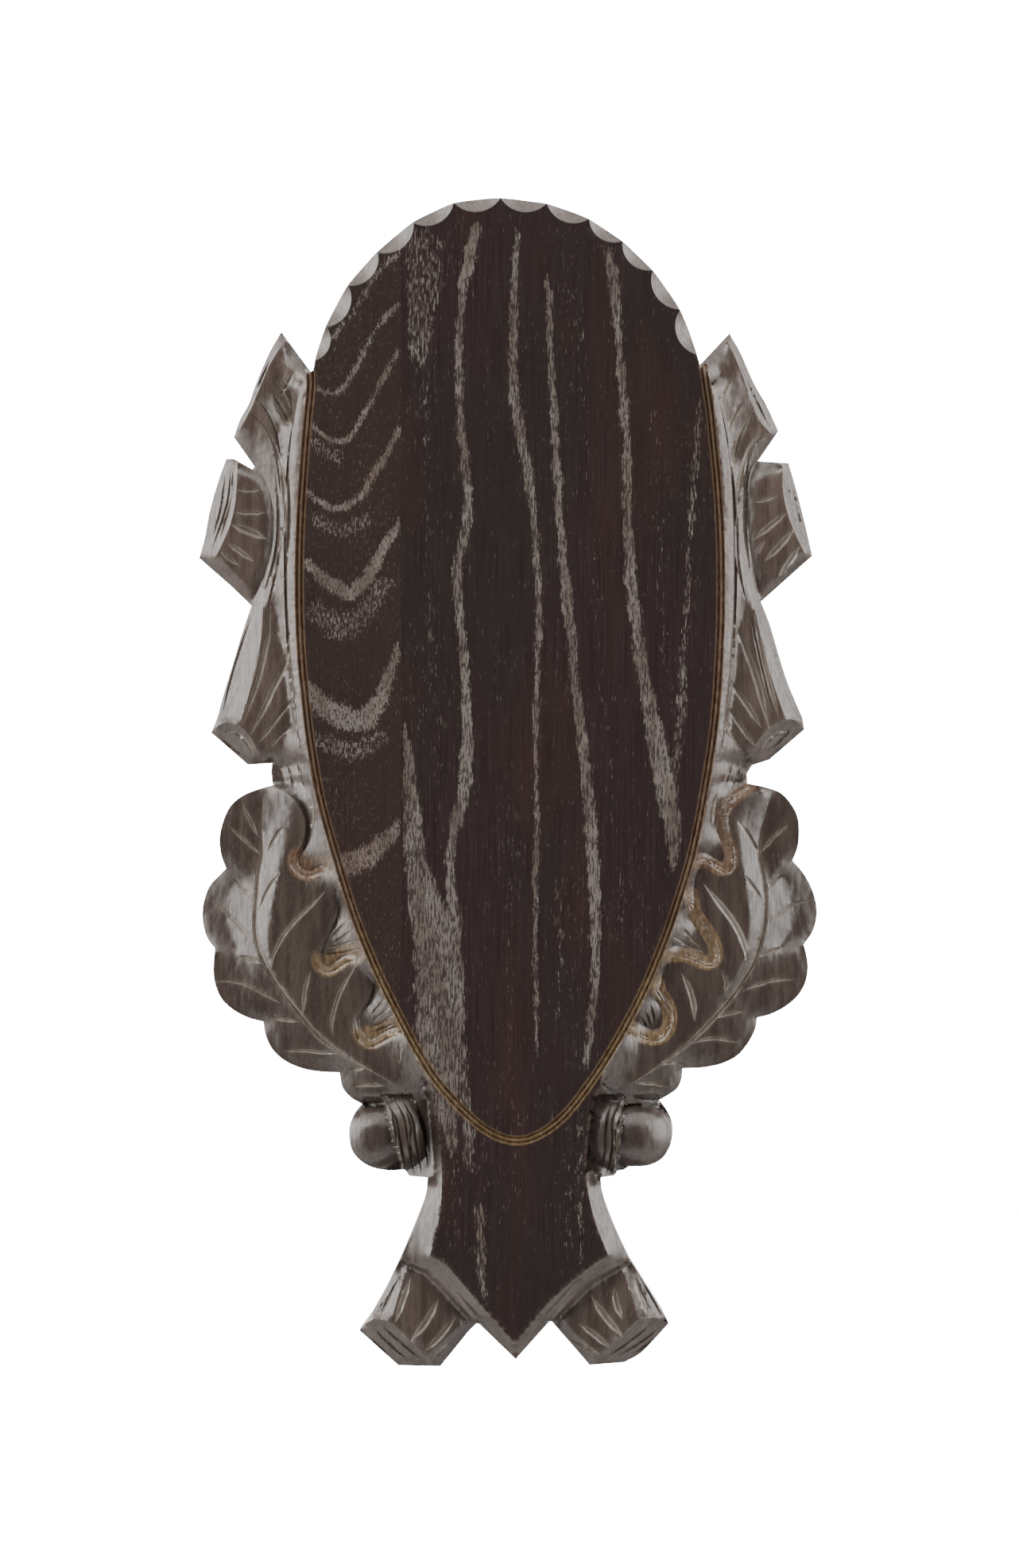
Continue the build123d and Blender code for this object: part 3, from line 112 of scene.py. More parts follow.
# Lines of the carving: name, curve or line, crisp or soft, then (x, z, height).
RELIEF = [
    ("field_r", "C", 1, [(42.33, 88.06, 20), (43.01, 86.02, 20), (44.03, 79.22, 20), (44.8, 72.42, 20), (45.48, 65.62,
     20), (45.9, 58.82, 20), (46.16, 50.32, 20), (46.24, 41.82, 20), (46.07, 31.62, 20), (45.82, 24.82, 20), (45.39,
     18.02, 20), (44.71, 11.22, 20), (43.86, 5.27, 20), (43.01, 0.17, 20), (41.48, -8.33, 20), (39.78, -15.98, 20),
     (37.74, -22.78, 20), (35.53, -29.58, 20), (33.07, -36.38, 20), (30.18, -43.18, 20), (26.86, -49.98, 20), (22.78,
     -57.12, 20), (20.4, -61.03, 20), (19.89, -62.9, 20)]),
    ("field_l", "C", 1, [(-17.51, -61.88, 20), (-18.19, -61.03, 20), (-20.4, -56.78, 20), (-23.97, -50.07, 20),
     (-27.37, -43.35, 20), (-30.6, -36.38, 20), (-33.32, -29.58, 20), (-35.53, -22.78, 20), (-37.57, -15.98, 20),
     (-39.53, -9.18, 20), (-41.31, -2.38, 20), (-42.59, 4.42, 20), (-43.52, 11.22, 20), (-44.29, 18.02, 20), (-44.97,
     24.82, 20), (-45.48, 33.32, 20), (-45.65, 41.82, 20), (-45.56, 50.32, 20), (-45.22, 58.82, 20), (-44.8, 65.62,
     20), (-44.29, 72.42, 20), (-43.69, 79.22, 20), (-43.18, 84.32, 20), (-43.18, 87.72, 20)]),
    ("tail_l", "C", 1, [(-16.83, -100.81, 20), (-15.81, -97.07, 20), (-14.79, -92.48, 20), (-14.28, -87.38, 20),
     (-14.28, -82.28, 20), (-14.62, -77.18, 20), (-15.47, -70.38, 20), (-16.49, -65.28, 20), (-17.51, -61.88, 20)]),
    ("tail_r", "C", 1, [(19.89, -62.9, 20), (18.36, -67.83, 20), (17.34, -72.08, 20), (16.66, -77.18, 20), (16.49,
     -82.28, 20), (17.17, -88.23, 20), (18.7, -94.18, 20), (21.25, -100.64, 20)]),
    ("tail_v", "L", 1, [(-16.83, -100.81, 20), (-13.6, -102.34, 20), (-6.63, -110.5, 20), (1.36, -119.51, 20), (9.01,
     -110.16, 20), (16.66, -103.7, 20), (21.25, -100.64, 20)]),
    ("tail_foot_l", "L", 1, [(-23.12, -101.66, 16.8), (-17.34, -104.04, 17.1), (-13.26, -107.95, 17.2), (-6.63,
     -115.43, 17.3)]),
    ("tail_foot_r", "L", 1, [(25.84, -101.66, 16.8), (21.93, -103.87, 17.1), (16.15, -107.44, 17.2), (9.01, -114.92,
     17.3)]),
    ("stub_root_l", "L", 0, [(-23.63, -102.34, 13.2), (-18.02, -104.72, 15.2), (-13.94, -108.63, 15.6), (-7.14,
     -116.11, 13.6)]),
    ("stub_root_r", "L", 0, [(26.35, -102.34, 13.2), (22.44, -104.55, 15.2), (16.66, -108.12, 15.6), (9.52, -115.6,
     13.6)]),
    ("cove_l", "C", 0, [(-44.03, 85.68, 19.65), (-44.88, 79.22, 19.6), (-45.56, 72.42, 19.55), (-45.99, 65.62, 19.55),
     (-46.24, 58.82, 19.55), (-46.5, 50.32, 19.55), (-46.5, 41.82, 19.55), (-46.24, 33.32, 19.55), (-45.73, 24.82,
     19.55), (-45.05, 18.02, 19.55), (-44.29, 11.22, 19.55), (-43.52, 6.12, 19.55)]),
    ("valley_l", "C", 0, [(-44.88, 83.3, 18.9), (-46.07, 77.52, 18.7), (-46.75, 71.57, 18.65), (-47.18, 65.62, 18.65),
     (-47.35, 58.82, 18.65), (-47.52, 50.32, 18.65), (-47.43, 41.82, 18.65), (-47.09, 33.32, 18.65), (-46.5, 24.82,
     18.65), (-45.73, 18.02, 18.65), (-45.05, 12.07, 18.7), (-44.54, 7.82, 18.7)]),
    ("cove_r", "C", 0, [(43.86, 85.34, 19.65), (45.05, 79.22, 19.6), (45.9, 72.42, 19.55), (46.58, 65.62, 19.55),
     (46.92, 58.82, 19.55), (47.18, 50.32, 19.55), (47.26, 41.82, 19.55), (47.01, 31.62, 19.55), (46.67, 24.82,
     19.55), (46.16, 18.02, 19.55), (45.39, 11.22, 19.55), (44.71, 6.46, 19.55)]),
    ("valley_r", "C", 0, [(44.71, 83.3, 18.9), (46.07, 77.52, 18.7), (47.09, 71.57, 18.65), (47.77, 65.62, 18.65),
     (48.11, 58.82, 18.65), (48.28, 50.32, 18.65), (48.28, 41.82, 18.65), (47.94, 31.62, 18.65), (47.52, 24.82,
     18.65), (46.92, 18.02, 18.65), (46.07, 11.22, 18.7), (45.39, 7.48, 18.7)]),
    ("lb_rim1", "C", 1, [(-47.94, 94.69, 15.6), (-49.3, 92.48, 16.5), (-51.34, 89.08, 16.4), (-53.21, 84.83, 16.3),
     (-54.91, 80.58, 16.2), (-57.29, 76.16, 15.8)]),
    ("lb_facet1", "L", 1, [(-47.94, 94.69, 15.6), (-47.94, 90.27, 17), (-46.58, 87.72, 17.2), (-44.2, 85.34, 17.8)]),
    ("lb_pocket", "L", 1, [(-49.98, 87.04, 16.4), (-50.15, 82.62, 15.2), (-47.26, 77.52, 15.2), (-46.24, 79.22, 15.4),
     (-46.58, 83.98, 15.6)]),
    ("lb_crest", "C", 0, [(-55.76, 74.97, 15.8), (-53.38, 76.16, 16.4), (-51, 73.61, 16.9), (-49.3, 69.53, 17.2),
     (-48.28, 64.77, 17.3), (-48.11, 58.82, 17.3), (-48.45, 52.02, 17.2), (-49.47, 46.58, 17), (-51, 42.16, 16.8),
     (-52.53, 37.57, 16.6)]),
    ("lb_side1", "C", 0, [(-54.06, 81.77, 16.5), (-51.34, 79.22, 16.6), (-49.3, 74.97, 16.6), (-47.94, 69.87, 16.3)]),
    ("lb_meet2", "C", 1, [(-54.4, 67.83, 14.4), (-52.19, 64.94, 15.2), (-50.66, 60.18, 15.5), (-50.32, 54.06, 15.5),
     (-51, 48.62, 15.3), (-52.53, 43.86, 14.9), (-54.74, 38.93, 14.4)]),
    ("lb_stemslope", "C", 0, [(-54.06, 71.57, 15.2), (-51.68, 68.17, 16), (-49.81, 63.58, 16.3), (-49.3, 57.97, 16.4),
     (-49.3, 52.02, 16.3), (-50.15, 47.26, 16), (-51.51, 43.18, 15.7), (-53.38, 38.93, 15.3)]),
    ("lb_rim2", "C", 1, [(-57.97, 68.68, 15.6), (-58.14, 63.92, 16.3), (-58.65, 58.82, 16.4), (-60.01, 54.06, 16.3),
     (-62.56, 48.62, 15.8)]),
    ("lb_crest2", "C", 0, [(-56.78, 66.64, 15.6), (-54.06, 64.6, 15.9), (-52.19, 60.52, 16.2), (-51.68, 54.57, 16.2),
     (-52.36, 48.96, 16), (-54.06, 44.54, 15.6), (-55.76, 41.82, 15.2)]),
    ("lb_low2", "L", 0, [(-62.56, 48.62, 15.8), (-58.99, 45.22, 15.6), (-55.76, 41.82, 15.2)]),
    ("lb_edge3", "C", 1, [(-52.53, 37.57, 16.6), (-52.87, 31.62, 16.5), (-54.06, 24.82, 16.4), (-55.59, 18.87, 16.4),
     (-57.29, 13.26, 16.3)]),
    ("lb_rim3", "C", 1, [(-62.22, 12.41, 14.8), (-60.52, 13.09, 15.6), (-58.65, 12.75, 16.1), (-56.78, 11.73, 16.4),
     (-54.74, 9.18, 16.4), (-53.55, 6.63, 16), (-51.85, 4.93, 14.8)]),
    ("lb_front3", "C", 0, [(-50.15, 38.42, 16.7), (-48.28, 31.62, 16.7), (-47.43, 24.82, 16.6), (-46.58, 18.02, 16.5),
     (-46.24, 13.26, 16.2), (-47.94, 9.18, 16), (-50.49, 5.95, 15)]),
    ("lb_facet3", "L", 0, [(-55.08, 31.62, 14.8), (-56.78, 24.82, 14.6), (-58.48, 18.87, 14.4), (-60.35, 13.77, 14)]),
    ("neck_l", "C", 0, [(-49.64, 3.4, 13), (-47.26, 4.08, 14.2), (-44.54, 4.42, 16.2), (-42.67, 4.08, 18.8)]),
    ("neck_l2", "C", 0, [(-48.96, 0.17, 13.4), (-46.58, 0.17, 14.4), (-43.86, -0.34, 16.2), (-41.82, -0.68, 18.6)]),
    ("rb_rim1", "C", 1, [(46.92, 94.52, 15.6), (48.45, 91.12, 16.5), (50.15, 87.04, 16.4), (51.85, 82.28, 16.3),
     (53.72, 77.69, 16.2), (55.93, 74.97, 15.8)]),
    ("rb_facet1", "L", 1, [(46.92, 94.52, 15.6), (46.58, 89.76, 17), (45.05, 87.04, 17.2), (43.52, 85.34, 17.8)]),
    ("rb_side1", "C", 0, [(51.85, 79.22, 16.6), (49.64, 74.46, 16.7), (47.77, 69.87, 16.4)]),
    ("rb_crest", "C", 0, [(55.42, 73.78, 15.8), (53.21, 73.1, 16.5), (51.34, 70.38, 16.9), (49.98, 65.62, 17.2),
     (49.3, 58.82, 17.3), (49.3, 52.02, 17.2), (49.98, 46.07, 17), (51.34, 41.48, 16.8), (52.7, 37.06, 16.6)]),
    ("rb_meet2", "C", 1, [(53.38, 69.02, 14.4), (51.85, 65.62, 15.2), (51.17, 60.18, 15.5), (51.34, 54.06, 15.5),
     (52.02, 48.28, 15.3), (52.87, 43.52, 14.9), (53.89, 39.27, 14.4)]),
    ("rb_stemslope", "C", 0, [(53.72, 71.06, 15.2), (51.34, 67.66, 16), (50.32, 63.07, 16.3), (50.15, 57.12, 16.4),
     (50.49, 50.32, 16.3), (51.51, 45.22, 15.9), (52.87, 40.46, 15.3)]),
    ("rb_rim2", "C", 1, [(58.65, 67.83, 15.6), (58.65, 63.07, 16.3), (59.5, 58.31, 16.4), (61.03, 54.06, 16.3),
     (63.24, 49.47, 15.8)]),
    ("rb_crest2", "C", 0, [(56.95, 66.98, 15.7), (54.06, 64.94, 16), (52.7, 59.67, 16.2), (52.87, 53.72, 16.2),
     (53.72, 48.28, 16), (54.74, 44.2, 15.6), (55.42, 41.82, 15.2)]),
    ("rb_low2", "L", 0, [(63.24, 49.47, 15.8), (59.5, 45.9, 15.6), (55.42, 41.82, 15.2)]),
    ("rb_edge3", "C", 1, [(52.7, 37.06, 16.6), (53.89, 31.62, 16.5), (55.59, 24.82, 16.4), (57.46, 18.87, 16.4),
     (59.16, 14.11, 16.2)]),
    ("rb_rim3", "C", 1, [(61.71, 13.43, 14.8), (60.01, 13.77, 15.6), (57.97, 13.26, 16.1), (55.93, 12.07, 16.4),
     (53.72, 9.69, 16.4), (52.7, 7.48, 16.2), (51.85, 5.27, 14.8)]),
    ("rb_front3", "C", 0, [(50.32, 38.08, 16.7), (48.79, 31.62, 16.7), (48.11, 24.82, 16.6), (47.43, 18.02, 16.5),
     (46.92, 13.77, 16.3), (48.62, 9.52, 16), (50.83, 6.29, 15)]),
    ("rb_facet3", "L", 0, [(55.76, 31.62, 14.8), (57.8, 24.82, 14.6), (59.5, 19.72, 14.3), (61.2, 15.13, 13.8)]),
    ("neck_r", "C", 0, [(51.17, 3.4, 13.2), (48.96, 4.08, 14.3), (46.24, 4.76, 16.2), (44.2, 4.76, 18.8)]),
    ("neck_r2", "C", 0, [(49.64, 0.34, 13.6), (47.26, 0.34, 14.6), (45.05, 0, 16.4), (43.35, -0.34, 18.6)]),
    ("ll_in1", "C", 1, [(-50.49, -0.68, 14.5), (-47.6, -2.04, 16.2), (-45.56, -3.91, 17), (-44.03, -6.46, 17.3),
     (-43.52, -9.18, 17.4), (-44.03, -12.58, 17.4), (-45.56, -15.64, 17.3), (-45.73, -17.68, 17.2), (-44.2, -19.04,
     17.2), (-42.16, -19.21, 17.3), (-40.12, -18.36, 17.6), (-38.25, -18.53, 18.4)]),
    ("ll_in1f", "C", 1, [(-49.98, -0.17, 14.2), (-47.26, -1.36, 15.6), (-45.05, -3.4, 16.2), (-43.35, -6.12, 16.5),
     (-42.84, -9.18, 16.5), (-43.35, -12.75, 16.4), (-44.88, -15.81, 16.3), (-44.88, -17.34, 16.3), (-43.86, -18.36,
     16.3), (-42.33, -18.53, 16.4), (-40.46, -17.68, 16.6), (-38.93, -17.68, 17.9)]),
    ("ll_in2", "C", 1, [(-36.72, -22.44, 18.6), (-36.72, -26.18, 17.6), (-37.57, -29.58, 17.5), (-39.27, -32.98,
     17.4), (-40.97, -36.38, 17.3), (-40.46, -38.76, 17.2), (-38.76, -39.95, 17.2), (-36.72, -39.1, 17.3), (-34.68,
     -37.74, 17.6), (-32.3, -37.4, 18.4)]),
    ("ll_in2f", "C", 1, [(-35.87, -23.8, 18.5), (-36.04, -26.52, 17.3), (-36.89, -29.92, 16.9), (-38.59, -33.32,
     16.5), (-40.12, -36.21, 16.2), (-39.78, -38.08, 16.1), (-38.76, -39.1, 16.1), (-37.06, -38.25, 16.3), (-35.02,
     -36.89, 16.7), (-32.98, -36.55, 18)]),
    ("ll_in3", "C", 1, [(-30.43, -40.12, 18.6), (-29.41, -42.33, 17.7), (-29.58, -44.88, 17.6), (-30.94, -47.43,
     17.4), (-32.47, -49.98, 17.3), (-32.47, -52.36, 17.2), (-31.28, -54.57, 17.2), (-29.41, -55.76, 17.2), (-27.37,
     -54.91, 17.4), (-25.33, -53.72, 17.7), (-22.95, -53.04, 18.4)]),
    ("ll_in3f", "C", 1, [(-29.07, -41.31, 18.5), (-28.56, -42.84, 17.4), (-28.9, -45.22, 17), (-30.26, -47.77, 16.6),
     (-31.62, -50.15, 16.3), (-31.62, -52.02, 16.2), (-30.6, -53.89, 16.2), (-29.41, -54.74, 16.4), (-27.71, -53.89,
     16.6), (-25.67, -52.7, 16.9), (-23.63, -52.02, 18)]),
    ("ll_ridge", "C", 0, [(-46.24, -5.44, 17), (-46.92, -9.18, 17.2), (-48.11, -15.13, 17.3), (-49.3, -20.23, 17.3),
     (-50.66, -26.18, 17.3), (-51.51, -32.13, 17.3), (-51.34, -37.23, 17.2), (-48.96, -42.84, 17.1), (-45.05, -48.28,
     17), (-40.46, -53.04, 17), (-35.36, -56.44, 17.1), (-28.9, -59.84, 17.3), (-22.95, -61.88, 17.6)]),
    ("ll_mid", "C", 0, [(-52.53, -2.89, 14.4), (-52.7, -6.63, 14.5), (-52.87, -10.88, 14.5), (-52.87, -15.13, 14.6),
     (-53.55, -19.38, 14.7), (-54.06, -26.18, 14.9), (-54.23, -31.28, 15.1), (-53.38, -35.87, 15.4), (-50.32, -41.82,
     15.8), (-47.26, -46.07, 16.1), (-43.86, -50.32, 16.3), (-40.46, -54.23, 16.4), (-37.23, -56.78, 16.6), (-34,
     -58.82, 16.7), (-30.6, -60.69, 16.9), (-25.16, -63.75, 17.2)]),
    ("ll_out1", "C", 0, [(-56.1, -4.08, 14.4), (-58.14, -7.14, 14.2), (-59.16, -10.88, 14.1), (-58.99, -15.13, 14.1),
     (-57.8, -19.04, 14.2)]),
    ("ll_out2", "C", 0, [(-57.8, -19.89, 12.7), (-59.67, -23.12, 11.9), (-60.52, -27.37, 11.6), (-60.01, -31.62,
     11.8), (-57.8, -35.7, 12.7)]),
    ("ll_out3", "C", 0, [(-60.52, -37.23, 13.3), (-60.69, -41.14, 13.4), (-58.82, -45.22, 13.9), (-55.42, -47.77,
     14.5), (-51.68, -49.13, 14.8)]),
    ("ll_out4", "C", 0, [(-50.15, -52.02, 14.9), (-48.62, -55.42, 14.9), (-45.22, -58.14, 15), (-40.12, -59.33, 15.2),
     (-35.36, -60.18, 15.5)]),
    ("ll_out5", "C", 0, [(-34, -62.9, 15.3), (-32.81, -65.28, 15.3), (-30.26, -66.98, 15.5), (-26.86, -66.98, 15.9)]),
    ("ll_base", "C", 1, [(-31.28, -68.68, 12.4), (-27.2, -68.34, 14), (-23.8, -67.15, 15.4), (-20.74, -65.62, 16.4),
     (-18.36, -63.58, 17.6)]),
    ("ll_basef", "C", 1, [(-30.94, -69.36, 12.7), (-26.86, -69.02, 14), (-23.29, -67.83, 15.2), (-20.23, -66.47,
     15.8), (-17.51, -64.26, 17.2)]),
    ("rl_in", "C", 1, [(53.89, -1.7, 17.3), (51, -2.72, 17.3), (48.79, -4.08, 17.3), (47.26, -6.29, 17.3), (47.26,
     -9.69, 17.3), (48.11, -13.09, 17.3), (48.79, -16.49, 17.3), (48.28, -18.7, 17.3), (46.58, -19.72, 17.3), (44.37,
     -18.7, 17.3), (42.5, -17.51, 17.3), (41.14, -17.51, 17.3), (40.29, -19.04, 17.3), (39.61, -22.27, 17.3), (39.95,
     -26.01, 17.3), (41.48, -29.07, 17.3), (43.69, -31.96, 17.3), (45.05, -34.85, 17.3), (45.39, -37.4, 17.3), (44.2,
     -39.27, 17.3), (42.33, -39.61, 17.3), (39.61, -38.42, 17.3), (36.21, -37.57, 17.3), (34.17, -38.42, 17.3),
     (32.81, -40.97, 17.3), (32.64, -43.69, 17.3), (34, -46.07, 17.3), (35.19, -48.28, 17.3), (35.19, -51.34, 17.3),
     (34, -54.23, 17.3), (31.79, -55.59, 17.3), (29.24, -55.42, 17.3), (26.86, -54.06, 17.8), (25.16, -53.04, 18.6)]),
    ("rl_b1", "C", 1, [(51, -0.68, 15.4), (47.94, -2.72, 16.2), (45.73, -5.44, 16.9), (45.05, -8.5, 17), (46.07,
     -12.07, 17), (47.09, -15.13, 17), (46.75, -17.34, 17), (45.39, -17.85, 17), (43.69, -16.83, 17.1), (41.82,
     -15.81, 17.4), (40.29, -16.49, 18.4)]),
    ("rl_b1f", "C", 1, [(49.98, -0.51, 14.4), (47.09, -2.38, 15.7), (44.88, -5.27, 16.5), (44.2, -8.5, 16.7), (45.22,
     -12.24, 16.7), (46.07, -14.96, 16.7), (45.73, -16.49, 16.7), (44.37, -16.32, 16.7), (42.33, -14.96, 16.8),
     (41.14, -14.62, 17.8)]),
    ("rl_b2", "C", 1, [(38.76, -24.14, 18.6), (38.93, -27.03, 17.5), (40.46, -29.75, 17.1), (42.5, -32.64, 17),
     (43.69, -35.19, 17), (43.69, -37.06, 17), (42.5, -37.91, 17), (40.29, -37.06, 17), (37.06, -36.04, 17.3), (34.34,
     -36.38, 18.4)]),
    ("rl_b2f", "C", 1, [(37.57, -26.52, 18), (38.42, -28.39, 17), (39.95, -30.94, 16.8), (41.48, -33.32, 16.7), (42.5,
     -35.53, 16.6), (42.33, -36.55, 16.6), (40.8, -36.04, 16.7), (37.74, -34.85, 16.9), (35.19, -34.68, 17.8)]),
    ("rl_b3", "C", 1, [(31.28, -42.84, 18.6), (31.96, -45.05, 17.4), (33.32, -47.09, 17.1), (34, -49.47, 17), (33.66,
     -52.02, 17), (32.3, -53.72, 17), (30.09, -53.89, 17), (27.71, -52.87, 17.5), (26.35, -51.68, 18.4)]),
    ("rl_b3f", "C", 1, [(30.6, -44.37, 18), (31.28, -46.07, 17), (32.3, -47.77, 16.8), (32.81, -49.98, 16.7), (32.3,
     -51.85, 16.6), (30.94, -52.53, 16.6), (28.73, -51.85, 16.8), (27.37, -50.32, 17.8)]),
    ("rl_ridge", "C", 0, [(48.62, -7.14, 17), (49.13, -10.88, 17.2), (49.98, -15.98, 17.3), (50.83, -21.08, 17.3),
     (51.51, -27.03, 17.3), (51.51, -32.98, 17.3), (49.98, -38.42, 17.2), (46.58, -43.69, 17.1), (42.5, -48.28, 17),
     (37.74, -52.87, 17), (32.3, -57.12, 17.1), (26.35, -60.52, 17.4)]),
    ("rl_mid", "C", 0, [(55.76, -3.74, 14.4), (54.74, -7.48, 14.5), (53.89, -10.88, 14.5), (53.72, -15.13, 14.6),
     (54.4, -19.38, 14.7), (55.08, -24.48, 14.9), (54.74, -30.43, 15.1), (53.72, -34.68, 15.3), (52.19, -38.93, 15.5),
     (49.98, -42.5, 15.8), (47.26, -46.41, 16.1), (44.2, -49.81, 16.3), (40.8, -53.38, 16.4), (37.4, -56.44, 16.6),
     (34, -58.99, 16.7), (30.6, -61.37, 16.9), (27.2, -63.58, 17.2)]),
    ("rl_out1", "C", 0, [(57.12, -4.08, 14.4), (59.33, -6.8, 14.2), (60.01, -10.54, 14.1), (59.33, -14.96, 14),
     (57.46, -18.7, 14.1)]),
    ("rl_out2", "C", 0, [(58.48, -19.72, 12.7), (60.35, -23.12, 11.9), (61.2, -27.37, 11.6), (60.69, -31.28, 11.8),
     (58.31, -35.02, 12.7)]),
    ("rl_out3", "C", 0, [(61.2, -36.38, 14), (61.54, -40.46, 14), (59.5, -44.54, 14.2), (55.76, -47.09, 14.5), (52.02,
     -48.28, 14.8)]),
    ("rl_out4", "C", 0, [(51, -51, 14.9), (49.3, -54.4, 14.9), (45.9, -57.29, 15), (40.46, -58.82, 15.2), (35.7,
     -59.67, 15.5)]),
    ("rl_out5", "C", 0, [(35.02, -62.56, 15.3), (33.66, -64.94, 15.3), (30.94, -66.3, 15.5), (27.2, -66.64, 15.9)]),
    ("rl_base", "C", 1, [(32.13, -67.83, 12.4), (28.56, -67.66, 14), (25.16, -66.64, 15.6), (22.61, -64.94, 16.8),
     (20.74, -63.24, 18.2)]),
    ("rl_basef", "C", 1, [(31.96, -68.51, 12.7), (28.22, -68.34, 14), (24.65, -67.49, 15.2), (21.93, -65.96, 16),
     (20.06, -64.26, 17.7)]),
    ("ac_l", "C", 0, [(-16.83, -66.64, 15), (-15.98, -72.08, 15.2), (-15.47, -77.18, 15.2), (-15.47, -82.28, 15.4),
     (-16.15, -84.83, 15.6)]),
    ("ac_r", "C", 0, [(19.72, -66.64, 15), (18.53, -72.08, 15.2), (17.85, -77.18, 15.2), (17.68, -82.28, 15.4),
     (18.53, -84.83, 15.6)]),
    ("fs_l_rim", "L", 1, [(-30.77, -115.77, 12.5), (-28.9, -114.58, 15.8), (-25.16, -114.92, 16.6), (-20.91, -119.34,
     16.6), (-16.66, -124.1, 13.5)]),
    ("fs_l_edge", "L", 1, [(-21.76, -104.04, 15), (-23.29, -108.63, 16), (-25.16, -114.92, 16.6)]),
    ("fs_l_side", "L", 0, [(-9.69, -115.26, 15.4), (-12.58, -118.32, 15.6), (-17, -122.4, 15)]),
    ("fs_r_rim", "L", 1, [(33.66, -115.09, 12.5), (31.62, -114.24, 15.8), (27.71, -114.58, 16.6), (23.46, -118.66,
     16.6), (18.36, -123.93, 13.5)]),
    ("fs_r_edge", "L", 1, [(24.31, -104.04, 15), (25.84, -108.63, 16), (27.71, -114.58, 16.6)]),
    ("fs_r_side", "L", 0, [(12.07, -114.92, 15.4), (14.96, -118.32, 15.6), (19.04, -122.06, 15)]),
]
